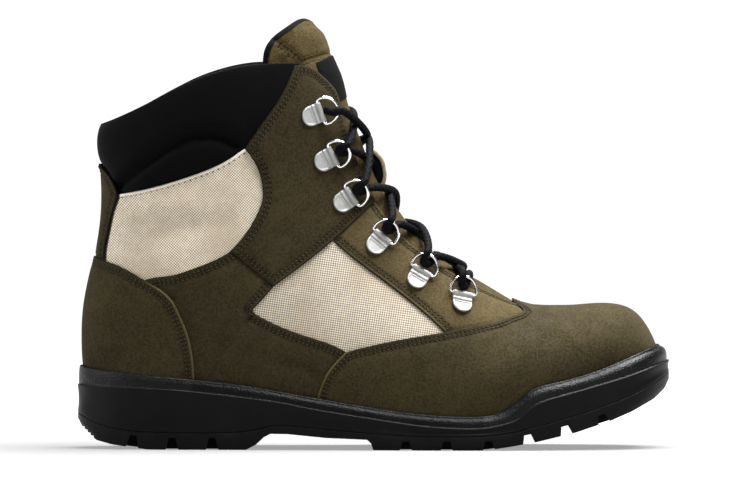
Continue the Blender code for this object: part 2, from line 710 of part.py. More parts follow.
def panel(name, outline, material, sections, face=LEATHER_FACE, back=LEATHER_BACK, side=None, margin=GAP / 2):
    """Piece of one layer of the wall inside a side-view outline."""
    part = add_part(name, shell_mesh(name, face, back, sections), material)
    y_from, y_to = (-FAR, FAR) if side is None else (side * 1.0, side * FAR)
    shape = inset(outline, margin) if margin else outline
    cutter = side_prism(name + "_outline", shape, y_from, y_to)
    cut(part, add_cutter(name + "_outline", cutter), "INTERSECT")


def build_upper():
    """Nylon boot with its nubuck overlays."""
    throat_tip, throat_top = THROAT_EDGE[-1], THROAT_EDGE[0]
    facing_split = THROAT_EDGE[7]
    upper = loop_of(
        [(FAR, 90.0), (FAR, -20.0), (-FAR, -20.0), (-FAR, 148.0)],
        stretch(BACKSTAY_EDGE, BACKSTAY_EDGE[0], COLLAR_SEAM[0]), smooth_line(COLLAR_SEAM),
        smooth_line(ANKLE_REAR), stretch(THROAT_EDGE, throat_top, throat_tip), [(84.0, 90.0)],
    )
    panel("upper", upper, "nylon", WHOLE, NYLON_FACE, NYLON_BACK, margin=0.0)

    vamp = loop_of(smooth_line(VAMP_REAR), smooth_line(VAMP_TOP), [(84.0, 95.0), (FAR, 95.0), (FAR, 10.0)])
    panel("vamp", vamp, "nubuck", (FIRST_SECTION, 18.0))
    counter = loop_of(smooth_line(COUNTER_SEAM), [(-170.0, 10.0)])
    panel("counter", counter, "nubuck", (11.0, LAST_SECTION))
    backstay = loop_of(smooth_line(BACKSTAY_EDGE), stretch(COUNTER_SEAM, BACKSTAY_EDGE[-1], COUNTER_SEAM[0]))
    panel("backstay", backstay, "nubuck", (20.0, LAST_SECTION))
    quarter = loop_of(
        stretch(COUNTER_SEAM, COUNTER_SEAM[-1], QUARTER_TOP[-1]), smooth_line(QUARTER_TOP)[::-1],
        smooth_line(ANKLE_FOOT), smooth_line(QUARTER_TIP), smooth_line(VAMP_REAR)[::-1],
    )
    eyestay = loop_of(
        smooth_line(EYESTAY_LOW), stretch(VAMP_TOP, EYESTAY_LOW[-1], VAMP_TOP[-3]),
        stretch(THROAT_EDGE, THROAT_EDGE[-2], facing_split), stretch(ANKLE_LOW, facing_split, EYESTAY_LOW[0]),
    )
    ankle = loop_of(
        smooth_line(ANKLE_REAR)[::-1], smooth_line(WINDOW_FRONT), smooth_line(ANKLE_FOOT),
        smooth_line(ANKLE_LOW), stretch(THROAT_EDGE, facing_split, throat_top),
    )
    for side, side_name in SIDE_NAMES.items():
        panel("quarter_" + side_name, quarter, "nubuck", (8.0, 24.0), LOW_LEATHER_FACE, side=side)
        panel("eyestay_" + side_name, eyestay, "nubuck", (6.0, 22.0), LOW_LEATHER_FACE, side=side)
        panel("ankle_panel_" + side_name, ankle, "nubuck", (9.0, LAST_SECTION), side=side)


def build_tongue():
    """Tongue with its plain label and lace keeper."""
    outline = loop_of(smooth_line(TONGUE_TOP), TONGUE_FRONT, smooth_line(TONGUE_REAR))
    panel("tongue", outline, "nubuck", (6.0, LAST_SECTION), TONGUE_FACE, TONGUE_BACK, margin=0.0)
    patch = shell_mesh("tongue_label", LABEL_FACE, LABEL_BACK, (20.0, LAST_SECTION))
    label = add_part("tongue_label", patch, "textile")
    box = side_prism("label_outline", LABEL_OUTLINE, -LABEL_HALF_WIDTH, LABEL_HALF_WIDTH)
    cut(label, add_cutter("label_outline", box), "INTERSECT")

    arc = [np.array(p) for p in smooth_line(KEEPER_ARC, 2)]
    inner_arc = []
    for i, p in enumerate(arc):
        run = arc[min(i + 1, len(arc) - 1)] - arc[max(i - 1, 0)]
        inner_arc.append(p + KEEPER_THICK * np.array((run[1], -run[0])) / np.linalg.norm(run))
    strap = side_prism("lace_keeper", arc + inner_arc[::-1], -KEEPER_HALF_WIDTH, KEEPER_HALF_WIDTH)
    add_part("lace_keeper", strap, "nubuck")


def build_collar():
    """Padded roll round the ankle, closed at both ankle panels."""
    low_at, high_at = spline_through(COLLAR_LOW), spline_through(COLLAR_HIGH)
    points, faces = [], []
    shares = [k / COLLAR_RINGS for k in range(COLLAR_RINGS + 1)]
    stations = [(OUTER, k) for k in range(COLLAR_STATIONS + 1)]
    stations += [(INNER, k) for k in range(COLLAR_STATIONS - 1, -1, -1)]
    for side, k in stations:
        where = (len(COLLAR_LOW) - 1) * k / COLLAR_STATIONS
        low, high = low_at(where), high_at(where)
        ring = []
        for is_lining in (False, True):
            for b in shares if not is_lining else shares[::-1]:
                x, z = low + (high - low) * b
                t, s = find_on_form(x, z)
                swell = math.sin(math.pi * b) ** 0.6 if 0.0 < b < 1.0 else 0.0
                if k == COLLAR_STATIONS:
                    s = 1.0
                depth = COLLAR_EDGE_FACE - COLLAR_PUFF * swell
                if is_lining:
                    depth = COLLAR_EDGE_BACK + COLLAR_LINING_PUFF * swell
                ring.append(skin_point(t, s, side, depth))
        points.append(ring)
    size = len(points[0])
    flat = [p for ring in points for p in ring]
    for i in range(len(points) - 1):
        for j in range(size):
            a, b = i * size + j, i * size + (j + 1) % size
            faces.append((a, b, b + size, a + size))
    for first in (0, (len(points) - 1) * size):
        last = first + size - 1
        faces += [(first + j, first + j + 1, last - 1 - j, last - j) for j in range(COLLAR_RINGS)]
    add_part("collar", closed_mesh("collar", flat, faces), "textile")


def ring_frame(row, side):
    """Place and axes of a clip on the wall: towards the ring, along its bar, outwards."""
    t, s = find_on_form(row["x"], row["z"])
    normal = Vector(form_normal(t, s, side))
    place = Vector(form_point(t, s, side)) + normal * (KNUCKLE_RADIUS + GAP)
    angle = math.radians(row["clip_angle"])
    reach = Vector((math.cos(angle), 0.0, math.sin(angle)))
    reach = (reach - normal * reach.dot(normal)).normalized()
    return place, reach, normal.cross(reach), normal


def frame_matrix(place, axis_x, axis_y, axis_z):
    """Placement in metres from axes in columns."""
    turn = Matrix((axis_x, axis_y, axis_z)).transposed().to_4x4()
    return Matrix.Translation(place * MM) @ turn


def arc_points(centre, radius, degrees):
    """Points of an arc in a plane."""
    angles = [math.radians(a) for a in degrees]
    return [(centre[0] + radius * math.cos(a), centre[1] + radius * math.sin(a)) for a in angles]


def clip_mesh():
    """Folded clip: a rounded plate with a bored knuckle along Y."""
    hook = arc_points((0.0, 0.0), KNUCKLE_RADIUS, range(-90, 151, 40))
    plate_top = CLIP_THICK - KNUCKLE_RADIUS
    hook += [(-CLIP_NECK, plate_top), (-CLIP_LENGTH, plate_top), (-CLIP_LENGTH, -KNUCKLE_RADIUS)]
    bore = arc_points((0.0, 0.0), KNUCKLE_BORE, range(0, 360, 60))
    body = prism_mesh("clip_profile", [hook, bore], CLIP_WIDTH / 2.0)
    body.transform(Matrix.Rotation(math.pi / 2, 4, "X"))
    holder = add_cutter("clip_profile", body)
    half = CLIP_WIDTH / 2.0 - 0.01
    outline = [(CLIP_NECK, -half), (CLIP_NECK, half)]
    outline += arc_points((0.01 + half - CLIP_LENGTH, 0.0), half, range(90, 271, 36))
    cut(holder, add_cutter("clip_outline", prism_mesh("clip_outline", [outline], CLIP_LENGTH)), "INTERSECT")
    return baked(holder, "clip")


def ring_mesh():
    """D-ring in X and Y with its bar along Y through the origin."""
    bow = RING_HALF_WIDTH
    path = [(0.0, -bow), (0.0, bow)]
    path += arc_points((RING_REACH - bow, 0.0), bow, range(90, -91, -36))
    return tube_mesh("ring", [(x, y, 0.0) for x, y in path], RING_WIRE, 0, True)


def tube_mesh(name, path, radius, resolution, cyclic):
    """Round bar along a path."""
    curve = bpy.data.curves.new(name, "CURVE")
    curve.dimensions = "3D"
    curve.bevel_depth = radius * MM
    curve.bevel_resolution = resolution
    curve.use_fill_caps = True
    line = curve.splines.new("POLY")
    line.points.add(len(path) - 1)
    for point, place in zip(line.points, path):
        point.co = (place[0] * MM, place[1] * MM, place[2] * MM, 1.0)
    line.use_cyclic_u = cyclic
    holder = bpy.data.objects.new(name, curve)
    mesh = bpy.data.meshes.new_from_object(holder)
    bpy.data.objects.remove(holder)
    work = bmesh.new()
    work.from_mesh(mesh)
    bmesh.ops.remove_doubles(work, verts=work.verts, dist=0.000002)
    bmesh.ops.recalc_face_normals(work, faces=work.faces)
    work.to_mesh(mesh)
    work.free()
    return mesh


def baked(holder, name):
    """Mesh of an object with its modifiers worked in."""
    bpy.context.view_layer.update()
    seen = holder.evaluated_get(bpy.context.evaluated_depsgraph_get())
    mesh = bpy.data.meshes.new_from_object(seen)
    mesh.name = name
    mesh.materials.clear()
    return mesh


def tilted(reach, normal):
    """Ring directions once the ring stands off the leather: outwards along it, and square to it."""
    angle = math.radians(RING_TILT)
    out = reach * math.cos(angle) + normal * math.sin(angle)
    return out, normal * math.cos(angle) - reach * math.sin(angle)


def build_hardware():
    """Clips and D-rings on both facings."""
    clip, ring = clip_mesh(), ring_mesh()
    for side, side_name in SIDE_NAMES.items():
        for number, values in enumerate(RINGS, 1):
            place, reach, bar, normal = ring_frame(dict(zip(RING_COLUMNS, values)), side)
            part = add_part(f"clip_{side_name}_{number}", clip, "steel")
            part.matrix_world = frame_matrix(place, reach, bar, normal)
            out, square = tilted(reach, normal)
            part = add_part(f"ring_{side_name}_{number}", ring, "steel")
            part.matrix_world = frame_matrix(place, out, bar, square)


def lace_turn(number, side):
    """Lace points round the bow of a ring, from over it to under it."""
    place, reach, _, normal = ring_frame(dict(zip(RING_COLUMNS, RINGS[number])), side)
    out, square = tilted(reach, normal)
    bow = place + out * RING_REACH
    angles = (60.0, 110.0, 180.0, 250.0, 290.0)
    turns = arc_points((0.0, 0.0), LACE_TURN, angles)
    return [bow + out * along + square * across for along, across in turns]


def over_tongue(height, lift):
    """Lace point over the middle of the tongue at a height of the lacing line."""
    samples = np.linspace(9.5, 26.0, 100)
    t = float(np.interp(height, [section(t)["ridge_z"] for t in samples], samples))
    return Vector(skin_point(t, 0.0, OUTER, -lift))


def lace_run(side, lift):
    """Path of half the lace from a top ring down to a lowest ring."""
    path = lace_turn(0, side)[2:]
    for number, height in enumerate(CROSSING_HEIGHTS, 1):
        side = -side
        path += [over_tongue(height, lift), *lace_turn(number, side)]
    return path


def build_lace():
    """One lace from the outer top ring down, across the lowest bar and up to the inner top ring."""
    bar = over_tongue(LOWEST_BAR_HEIGHT, OVER_LIFT)
    path = lace_run(OUTER, OVER_LIFT) + [bar] + lace_run(INNER, UNDER_LIFT)[::-1]
    add_part("lace", tube_mesh("lace", path, LACE_RADIUS, 1, False), "braid")


build_sole()
build_insole()
build_upper()
build_tongue()
build_collar()
build_hardware()
build_lace()
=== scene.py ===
"""Looks of the field boot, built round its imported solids.

Tables and sizes are in millimetres in the boot's own frame: +X runs to the toe, +Y to the inner
side of the foot and +Z up from the floor. They become metres where a mesh is made.
"""

import logging
import math
from collections.abc import Callable, Iterable, Sequence
from dataclasses import dataclass, field
from enum import Enum

import bmesh
import bpy
import numpy as np
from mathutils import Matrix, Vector, geometry


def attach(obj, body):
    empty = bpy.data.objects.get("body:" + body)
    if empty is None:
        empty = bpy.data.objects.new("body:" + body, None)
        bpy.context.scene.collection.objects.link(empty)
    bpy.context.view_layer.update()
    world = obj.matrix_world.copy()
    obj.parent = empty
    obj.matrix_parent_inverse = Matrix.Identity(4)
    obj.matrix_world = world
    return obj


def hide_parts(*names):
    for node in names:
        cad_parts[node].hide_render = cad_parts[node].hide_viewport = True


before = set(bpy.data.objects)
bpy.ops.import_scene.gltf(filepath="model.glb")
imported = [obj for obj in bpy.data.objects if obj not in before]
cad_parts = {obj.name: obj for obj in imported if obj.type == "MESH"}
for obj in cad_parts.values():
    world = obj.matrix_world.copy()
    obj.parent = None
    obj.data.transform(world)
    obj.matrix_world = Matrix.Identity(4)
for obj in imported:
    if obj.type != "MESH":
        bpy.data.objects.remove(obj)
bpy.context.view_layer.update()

Array = np.ndarray
Colour = tuple[int, int, int]
Floats = tuple[float, ...]
Pair = tuple[float, float]
Frames = tuple[np.ndarray, np.ndarray, np.ndarray]
Table = Sequence[Sequence[float]]
Mesh = bpy.types.Mesh
Object = bpy.types.Object
Socket = bpy.types.NodeSocket
log = logging.getLogger("field_boot")

MM = 0.001
ROOT = "root"

# Layers of the wall: face and back, measured inwards from the outside of the upper leather layer
NYLON_LAYER = (1.7, 3.5)
OVER_LAYER = (0.0, 1.05)
UNDER_LAYER = (0.5, 1.6)
TONGUE_LAYER = (4.0, 9.0)
TUCK_DEPTH = 1.12
TUCK = 1.8
TUCK_BLEND = 2.2

# Stitching of the leather edges
STITCH_ROWS = (2.2, 4.0)
STITCH_PITCH = 2.3
EDGE_ROLL = 0.55
TROUGH_DEPTH = 0.3
TROUGH_WIDTH = 0.55
FAR_FROM_SEAM = 20.0

# Fan of sections from the toe to above the collar, from the ridge line to the base line
SECTIONS = (
    # ridge_x, ridge_z, base_x, base_z, swing, outer_width, inner_width, base_share, belly, crown
    (148, 39, 148, 38.5, 6, 1, 1, 0.97, 0.6, 2),
    (148.4, 45.5, 143.5, 36.8, 5.6, 16, 15.6, 0.97, 0.6, 2.1),
    (146.6, 53.2, 136, 33.4, 5.4, 26, 25, 0.97, 0.6, 2.15),
    (143.3, 60.6, 126, 29.4, 5, 33.8, 32.4, 0.97, 0.62, 2.2),
    (138.2, 68, 114.5, 25, 4.5, 39.6, 38, 0.97, 0.64, 2.25),
    (131, 73, 102.5, 20.6, 3.9, 44, 42.4, 0.97, 0.66, 2.3),
    (120.5, 74.8, 90.5, 16.6, 3.1, 47.4, 46, 0.97, 0.68, 2.3),
    (108, 74.3, 79, 13.8, 2.3, 49.8, 48.4, 0.97, 0.7, 2.25),
    (95, 73.7, 67, 12.2, 1.5, 51.2, 49.4, 0.97, 0.7, 2.2),
    (83, 74.4, 53, 11.5, 0.7, 51.8, 49, 0.97, 0.7, 2.1),
    (71.5, 78.2, 37, 12, 0, 51.2, 47.2, 0.97, 0.7, 2.05),
    (59.5, 85.8, 17, 13.8, -0.6, 48.4, 44.6, 0.96, 0.7, 2),
    (47, 94.8, -7, 16.8, -1, 45.8, 41.6, 0.94, 0.68, 2),
    (35.5, 103.8, -36, 20, -1.2, 43.2, 39.6, 0.91, 0.64, 2),
    (25.5, 114.2, -68, 23, -1, 41.2, 39, 0.88, 0.6, 2),
    (17.5, 125, -99, 25.2, -0.6, 40.2, 39, 0.86, 0.57, 2),
    (10.8, 134, -122.5, 26.5, -0.3, 39.6, 39, 0.81, 0.54, 2),
    (6.2, 141.8, -137, 28, 0, 39.2, 38.8, 0.63, 0.52, 2),
    (3, 148.5, -146, 32, 0, 39, 38.6, 0.36, 0.5, 2),
    (0, 155.5, -150.2, 41, 0, 38.8, 38.4, 0, 0.49, 2),
    (-3, 163.5, -151.2, 56, 0, 38.6, 38.4, 0, 0.48, 2),
    (-5.8, 171.5, -150.4, 73, 0, 38.6, 38.4, 0, 0.48, 2),
    (-8.6, 179.5, -147.2, 90, 0, 38.8, 38.6, 0, 0.48, 2),
    (-11.4, 187.5, -143.6, 107, 0, 39.4, 39.2, 0, 0.48, 2),
    (-14, 195.5, -141.6, 124, 0, 40.2, 40, 0, 0.48, 2),
    (-16.5, 203.5, -141.6, 141, 0, 41, 40.8, 0, 0.48, 2),
    (-19.3, 211.5, -142, 158, 0, 41.8, 41.6, 0, 0.48, 2),
    (-22.5, 219.5, -142, 175, 0, 42.6, 42.4, 0, 0.48, 2),
    (-26.5, 227.5, -141.5, 192, 0, 43.4, 43.2, 0, 0.48, 2),
)
RIDGE_X, RIDGE_Z, BASE_X, BASE_Z, SWING, OUTER_WIDTH, INNER_WIDTH, BASE_SHARE, BELLY, CROWN = range(10)
RIDGE, BASE = slice(RIDGE_X, BASE_X), slice(BASE_X, SWING)
HEEL_CROWN = 2.35
HEEL_CLOSES = 19.0
FIRST_SECTION = 0.4
TOP_SECTION = 28.0

# Steps and limits of the sums on the form
LEAST_SHARE = 0.03
TURN_STEP = 0.002
SECTION_STEP = 0.02
JUST_OVER = 1.000001
HALVINGS = 40
CHUNK = 1000
TINY = 1e-12
ANY_WAY = (0.3, 0.2, 0.9)

# Seam lines in the side view, as x and z
COUNTER_SEAM = (
    (-145, 99.7), (-140.3, 97.6), (-130.4, 94), (-118.5, 87.4), (-106, 79.3), (-99.3, 68),
    (-95.4, 58.1), (-92.8, 44), (-92.2, 28),
)
BACKSTAY_EDGE = (
    (-143, 146.8), (-140.2, 145), (-136.2, 139), (-133.3, 131.6), (-134.9, 125.4),
    (-137.6, 115.5), (-139.8, 104.9), (-140.3, 97.6),
)
COLLAR_SEAM = ((-133.3, 131.6), (-115.9, 134.8), (-96.9, 140.2), (-79.5, 146.9), (-66.1, 155.2))
ANKLE_REAR = ((-66.1, 155.2), (-57.9, 167.1), (-48.9, 179.6), (-43.2, 190.7), (-39.9, 198.4))
WINDOW_FRONT = (
    (-66.1, 155.2), (-59.8, 145.9), (-57, 135.5), (-57.3, 127.7), (-60.7, 119.8),
    (-66.3, 110.8), (-73.8, 102.3),
)
QUARTER_TOP = (
    (-73.8, 102.3), (-82.1, 97.6), (-95.6, 92.4), (-104.5, 89.8), (-112.6, 88.8), (-118.5, 87.4),
)
ANKLE_FOOT = ((-73.8, 102.3), (-62.4, 92.9), (-51.5, 84.2))
ANKLE_LOW = ((-51.5, 84.2), (-35, 96.4), (-20.7, 108), (-9, 118.5), (1.4, 128.6))
QUARTER_TIP = (
    (-51.5, 84.2), (-56.6, 78.4), (-61.3, 73.4), (-60.4, 69.9), (-43.7, 61.8), (-24.7, 55.5),
    (-14.1, 50.6),
)
EYESTAY_LOW = ((-20.7, 108), (-8.3, 97.5), (11.3, 83), (28.5, 69), (37, 60.9))
VAMP_REAR = ((-29.6, 18), (-29.2, 25.4), (-25.6, 36.3), (-20.4, 44.1), (-14.1, 50.6))
VAMP_TOP = (
    (-14.1, 50.6), (2.5, 54.6), (20.6, 58.2), (37, 60.9), (59.6, 65.4), (69.6, 68.4), (77, 71.4),
    (75.6, 74.4), (72, 77.6),
)
THROAT_EDGE = (
    (-39.9, 198.4), (-32.3, 197.3), (-26.6, 193.6), (-19.3, 185.8), (-16.2, 176), (-12.1, 160.4),
    (-7.9, 148.5), (1.4, 128.6), (15.4, 110.6), (22.7, 104.3), (36.2, 94.5), (55.4, 84.1),
    (68.4, 77.9), (75, 75.5), (79.4, 75),
)
THROAT_SPLIT = 7
TONGUE_TOP = (
    (-54, 196.5), (-53.4, 202), (-50.4, 209.4), (-42.4, 217.2), (-34.4, 223.4), (-28.4, 226.6),
    (-24.6, 225.2),
)
TONGUE_SEAMS = (((-46.6, 212.4), (-34.2, 200.8)), ((-34.2, 200.8), (-18.6, 205.8)))
TONGUE_REAR = (
    (92, 62), (76, 60), (50, 71), (28, 84), (6, 103), (-9, 124),
    (-19, 146), (-27, 166), (-33, 184), (-36, 193), (-37, 196.5),
)

# Soft troughs and ridges in the side view, as x, z, angle, length, width and depth
VAMP_CREASES = (
    (74, 60, 62, 16, 3.4, 0.7), (63, 55, 70, 15, 3, 0.6),
    (86, 58, 55, 14, 4, -0.5), (52, 46, 66, 13, 3.2, 0.45),
    (40, 42, 72, 11, 3, 0.35), (96, 66, 40, 12, 4.2, 0.4),
)
COUNTER_CREASES = ((-128, 60, 20, 14, 6, 0.3), (-112, 50, -50, 12, 4, 0.25))
BACKSTAY_FLARE = ((-143, 150, 0, 30, 7, -2.2),)
QUARTER_CREASES = (
    (-46, 44, -18, 18, 3.6, 0.5), (-60, 52, -28, 16, 4, -0.35),
    (-78, 74, 58, 15, 4, 0.35),
)
ANKLE_CREASES = (
    (-40, 132, 40, 16, 5, 0.4), (-44, 112, 42, 14, 4, 0.35),
    (-34, 160, 62, 14, 5, -0.3),
)
NYLON_CREASES = (
    (-104, 127, 8, 24, 6, -1.3), (-100, 114, 8, 26, 6, 1.6),
    (-82, 132, 26, 12, 5, 0.6), (-120, 104, 30, 12, 5, 0.5),
    (-20, 78, 38, 20, 6, 0.4), (-34, 84, 38, 14, 5, -0.3),
)
TONGUE_PAD = ((-24, 215, 0, 16, 6.5, -1.2),)


class Side(Enum):
    """The two sides of the foot, as the sign of Y."""

    OUTER = -1.0
    INNER = 1.0

    @property
    def word(self) -> str:
        """Name of the side in piece and node names."""
        return self.name.lower()


class EdgeKind(Enum):
    """What happens at one run of a panel's edge."""

    FREE = "rolled, with stitch rows"
    TUCKED = "runs on under its neighbour"
    HIDDEN = "covered by another piece"


FREE, TUCKED, HIDDEN = EdgeKind


def natural_spline(rows: Table) -> Callable[[Array], Array]:
    """Natural cubic spline through rows, one row for each whole step of its parameter.

    Args:
        rows: Knots, all with the same number of columns.

    Returns:
        Function from parameters to interpolated rows.
    """
    knots = np.asarray(rows, float)
    count = len(knots)
    system = np.eye(count)
    right = np.zeros_like(knots)
    for i in range(1, count - 1):
        system[i, i - 1:i + 2] = 1.0, 4.0, 1.0
        right[i] = 6.0 * (knots[i - 1] - 2.0 * knots[i] + knots[i + 1])
    bend = np.linalg.solve(system, right)

    def at(t: Array) -> Array:
        """Interpolated rows at the parameters t."""
        t = np.asarray(t, float)
        i = np.clip(np.floor(t).astype(int), 0, count - 2)
        u = (t - i)[..., None]
        v = 1.0 - u
        return v * knots[i] + u * knots[i + 1] + ((v**3 - v) * bend[i] + (u**3 - u) * bend[i + 1]) / 6.0

    return at


def smooth_line(points: Table, steps: int = 8) -> Array:
    """Points of a smooth curve through a short table.

    Args:
        points: Table of points.
        steps: Points for each row of the table.

    Returns:
        Array of points along the curve.
    """
    return natural_spline(points)(np.arange((len(points) - 1) * steps + 1) / steps)


def between(points: Table, start: Sequence[float], end: Sequence[float]) -> Array:
    """Part of a smooth line from start to end, in that direction.

    Args:
        points: Table of the whole line.
        start: Point near which the part starts.
        end: Point near which it ends.

    Returns:
        Array of points.
    """
    line = smooth_line(points)
    first, last = (int(np.argmin(np.hypot(*(line - np.array(p)).T))) for p in (start, end))
    return line[first:last + 1] if first <= last else line[last:first + 1][::-1]


def lengths_along(points: Array) -> Array:
    """Length along a polyline at each of its points."""
    return np.concatenate(([0.0], np.cumsum(np.linalg.norm(np.diff(points, axis=0), axis=1))))


def resampled(points: Array, along: Array, places: Array) -> Array:
    """Rows of an array interpolated at places along it."""
    return np.stack([np.interp(places, along, column) for column in points.T], axis=1)


def smoothstep(low: float, high: float, value: Array) -> Array:
    """Share from 0 at low to 1 at high, with soft ends."""
    x = np.clip((value - low) / (high - low), 0.0, 1.0)
    return x * x * (3.0 - 2.0 * x)


def nearest_on_line(points: Array, line: Array) -> tuple[Array, Array]:
    """Distance from points to a polyline, and how far along it the nearest place lies.

    Args:
        points: Points in space.
        line: Points of the polyline.

    Returns:
        Distances and lengths along the line.
    """
    start, run = line[:-1], np.diff(line, axis=0)
    square = np.maximum((run**2).sum(1), TINY)
    along = lengths_along(line)
    distance, place = np.empty(len(points)), np.empty(len(points))
    for first in range(0, len(points), CHUNK):
        gone = points[first:first + CHUNK, None, :] - start
        share = np.clip((gone * run).sum(2) / square, 0.0, 1.0)
        gaps = np.linalg.norm(gone - share[..., None] * run, axis=2)
        best = gaps.argmin(1)
        rows = np.arange(len(best))
        distance[first:first + CHUNK] = gaps[rows, best]
        place[first:first + CHUNK] = along[best] + share[rows, best] * np.sqrt(square[best])
    return distance, place


def inside(loop: Array, points: Array) -> Array:
    """Which points of a plane lie inside a closed outline.

    Args:
        loop: Points of the outline.
        points: Points to test.

    Returns:
        True where a point is inside.
    """
    x1, y1 = loop.T
    x2, y2 = np.roll(loop, -1, axis=0).T
    rise = np.where(np.abs(y2 - y1) < TINY, TINY, y2 - y1)
    found = np.empty(len(points), bool)
    for first in range(0, len(points), CHUNK):
        x, y = (points[first:first + CHUNK, c][:, None] for c in (0, 1))
        crosses = ((y1 > y) != (y2 > y)) & (x < x1 + (y - y1) / rise * (x2 - x1))
        found[first:first + CHUNK] = crosses.sum(1) % 2 == 1
    return found


def unit_rows(rows: Array) -> Array:
    """Rows of length one."""
    return rows / np.linalg.norm(rows, axis=1)[:, None]


def square_to(run: Array) -> Array:
    """Unit directions square to runs in a plane."""
    return np.stack((run[:, 1], -run[:, 0]), axis=1) / np.linalg.norm(run, axis=1)[:, None]


def turn_of(share: Array) -> Array:
    """Turn at a share of the way from the ridge to the base line."""
    return np.arccos(1.0 - 2.0 * share) / np.pi


class LastForm:
    """Shape of the boot: a surface over section t and turn w.

    The turn is 0 on the ridge and 1 on the base or heel line, positive on the inner side and
    negative on the outer. It repeats after 2, so a panel may run over the heel line.
    """

    def __init__(self) -> None:
        """Lay the splines of the section table."""
        self.rows = natural_spline(SECTIONS)

    def share_at_base(self, t: Array, row: Array) -> Array:
        """Width left at the base line, as a share of the section's half width."""
        share = np.clip(row[..., BASE_SHARE], 0.0, 1.0)
        return np.where((t >= HEEL_CLOSES) | (share < LEAST_SHARE), 0.0, share)

    def point(self, t: Array, w: Array) -> Array:
        """Points of the outside of the leather.

        Args:
            t: Sections.
            w: Turns.

        Returns:
            Points in millimetres.
        """
        t, w = np.broadcast_arrays(np.asarray(t, float), np.asarray(w, float))
        row = self.rows(t)
        s = 0.5 - 0.5 * np.cos(np.pi * w)
        width = np.where(np.sin(np.pi * w) >= 0.0, row[..., INNER_WIDTH], -row[..., OUTER_WIDTH])
        belly, crown = row[..., BELLY], row[..., CROWN]
        cut = (1.0 - self.share_at_base(t, row)**HEEL_CROWN) ** (1.0 / HEEL_CROWN)
        front = (1.0 - (1.0 - np.minimum(s / belly, 1.0))**crown) ** (1.0 / crown)
        back = cut * np.maximum(s - belly, 0.0) / (1.0 - belly)
        rear = np.maximum(0.0, 1.0 - back**HEEL_CROWN) ** (1.0 / HEEL_CROWN)
        half = np.where(s < belly, front, rear)
        x = row[..., RIDGE_X] + s * (row[..., BASE_X] - row[..., RIDGE_X])
        z = row[..., RIDGE_Z] + s * (row[..., BASE_Z] - row[..., RIDGE_Z])
        return np.stack((x, row[..., SWING] + width * half, z), axis=-1)

    def slopes(self, t: Array, w: Array) -> tuple[Array, Array]:
        """Change of the point for each unit of section and of turn.

        Args:
            t: Sections.
            w: Turns.

        Returns:
            The two sets of slopes.
        """
        t, w = np.broadcast_arrays(np.asarray(t, float), np.asarray(w, float))
        low, high = w - TURN_STEP, w + TURN_STEP
        is_open = self.share_at_base(t, self.rows(t)) > 0.0
        high = np.where(is_open & (w <= 1.0), np.minimum(high, 1.0), high)
        low = np.where(is_open & (w <= 1.0), np.maximum(low, -1.0), low)
        low = np.where(is_open & (w > 1.0), np.maximum(low, JUST_OVER), low)
        along_t = (self.point(t + SECTION_STEP, w) - self.point(t - SECTION_STEP, w)) / (2.0 * SECTION_STEP)
        along_w = (self.point(t, high) - self.point(t, low)) / (high - low)[..., None]
        return along_t, along_w

    def normal(self, t: Array, w: Array) -> Array:
        """Outward directions at sections t and turns w."""
        along_t, along_w = self.slopes(t, w)
        normal = -np.cross(along_t, along_w)
        return normal / np.maximum(np.linalg.norm(normal, axis=-1, keepdims=True), 1e-9)

    def skin(self, t: Array, w: Array, depth: Array | float) -> Array:
        """Points at a depth below the outside of the leather."""
        depth = np.broadcast_to(np.asarray(depth, float), np.shape(t))
        return self.point(t, w) - depth[..., None] * self.normal(t, w)

    def locate(self, places: Array) -> tuple[Array, Array]:
        """Sections and unsigned turns of wall points seen from the side.

        Args:
            places: Rows of x and z.

        Returns:
            Sections and turns from 0 to 1.
        """
        x, z = np.asarray(places, float).T

        def side_of(t: Array) -> Array:
            """Which side of the section's chord the places lie on."""
            row = self.rows(t)
            run_x, run_z = (row[:, BASE] - row[:, RIDGE]).T
            return run_x * (z - row[:, RIDGE_Z]) - run_z * (x - row[:, RIDGE_X])

        low, high = np.full(len(x), FIRST_SECTION), np.full(len(x), TOP_SECTION)
        rising = side_of(high) > side_of(low)
        for _ in range(HALVINGS):
            middle = (low + high) / 2.0
            lower = (side_of(middle) > 0.0) == rising
            high, low = np.where(lower, middle, high), np.where(lower, low, middle)
        row = self.rows(low)
        run = row[:, BASE] - row[:, RIDGE]
        gone = np.stack((x, z), axis=1) - row[:, RIDGE]
        s = np.clip((gone * run).sum(1) / (run**2).sum(1), 0.0, 1.0)
        return low, turn_of(s)

    def trace(self, places: Array, side: Side, over_heel: bool = False) -> Array:
        """Path on the form under a side-view line.

        Args:
            places: Rows of x and z.
            side: Side of the foot that the path is on.
            over_heel: Whether the turn is counted over the heel line.

        Returns:
            Rows of section and turn.
        """
        t, w = self.locate(places)
        if side is Side.OUTER:
            w = 2.0 - w if over_heel else -w
        return np.stack((t, w), axis=1)

    def sidestep(self, path: Array, distance: Array | float) -> Array:
        """Path moved sideways over the surface, to its left seen from outside.

        Args:
            path: Rows of section and turn.
            distance: Millimetres to move by.

        Returns:
            Moved rows of section and turn.
        """
        t, w = path.T
        along_t, along_w = self.slopes(t, w)
        run = np.gradient(self.point(t, w), axis=0)
        across = np.cross(self.normal(t, w), run)
        across *= np.broadcast_to(distance, len(path))[:, None] / np.linalg.norm(across, axis=1)[:, None]
        a, b, c = (along_t**2).sum(1), (along_t * along_w).sum(1), (along_w**2).sum(1)
        p, q = (along_t * across).sum(1), (along_w * across).sum(1)
        det = a * c - b * b
        return path + np.stack(((c * p - b * q) / det, (a * q - b * p) / det), axis=1)

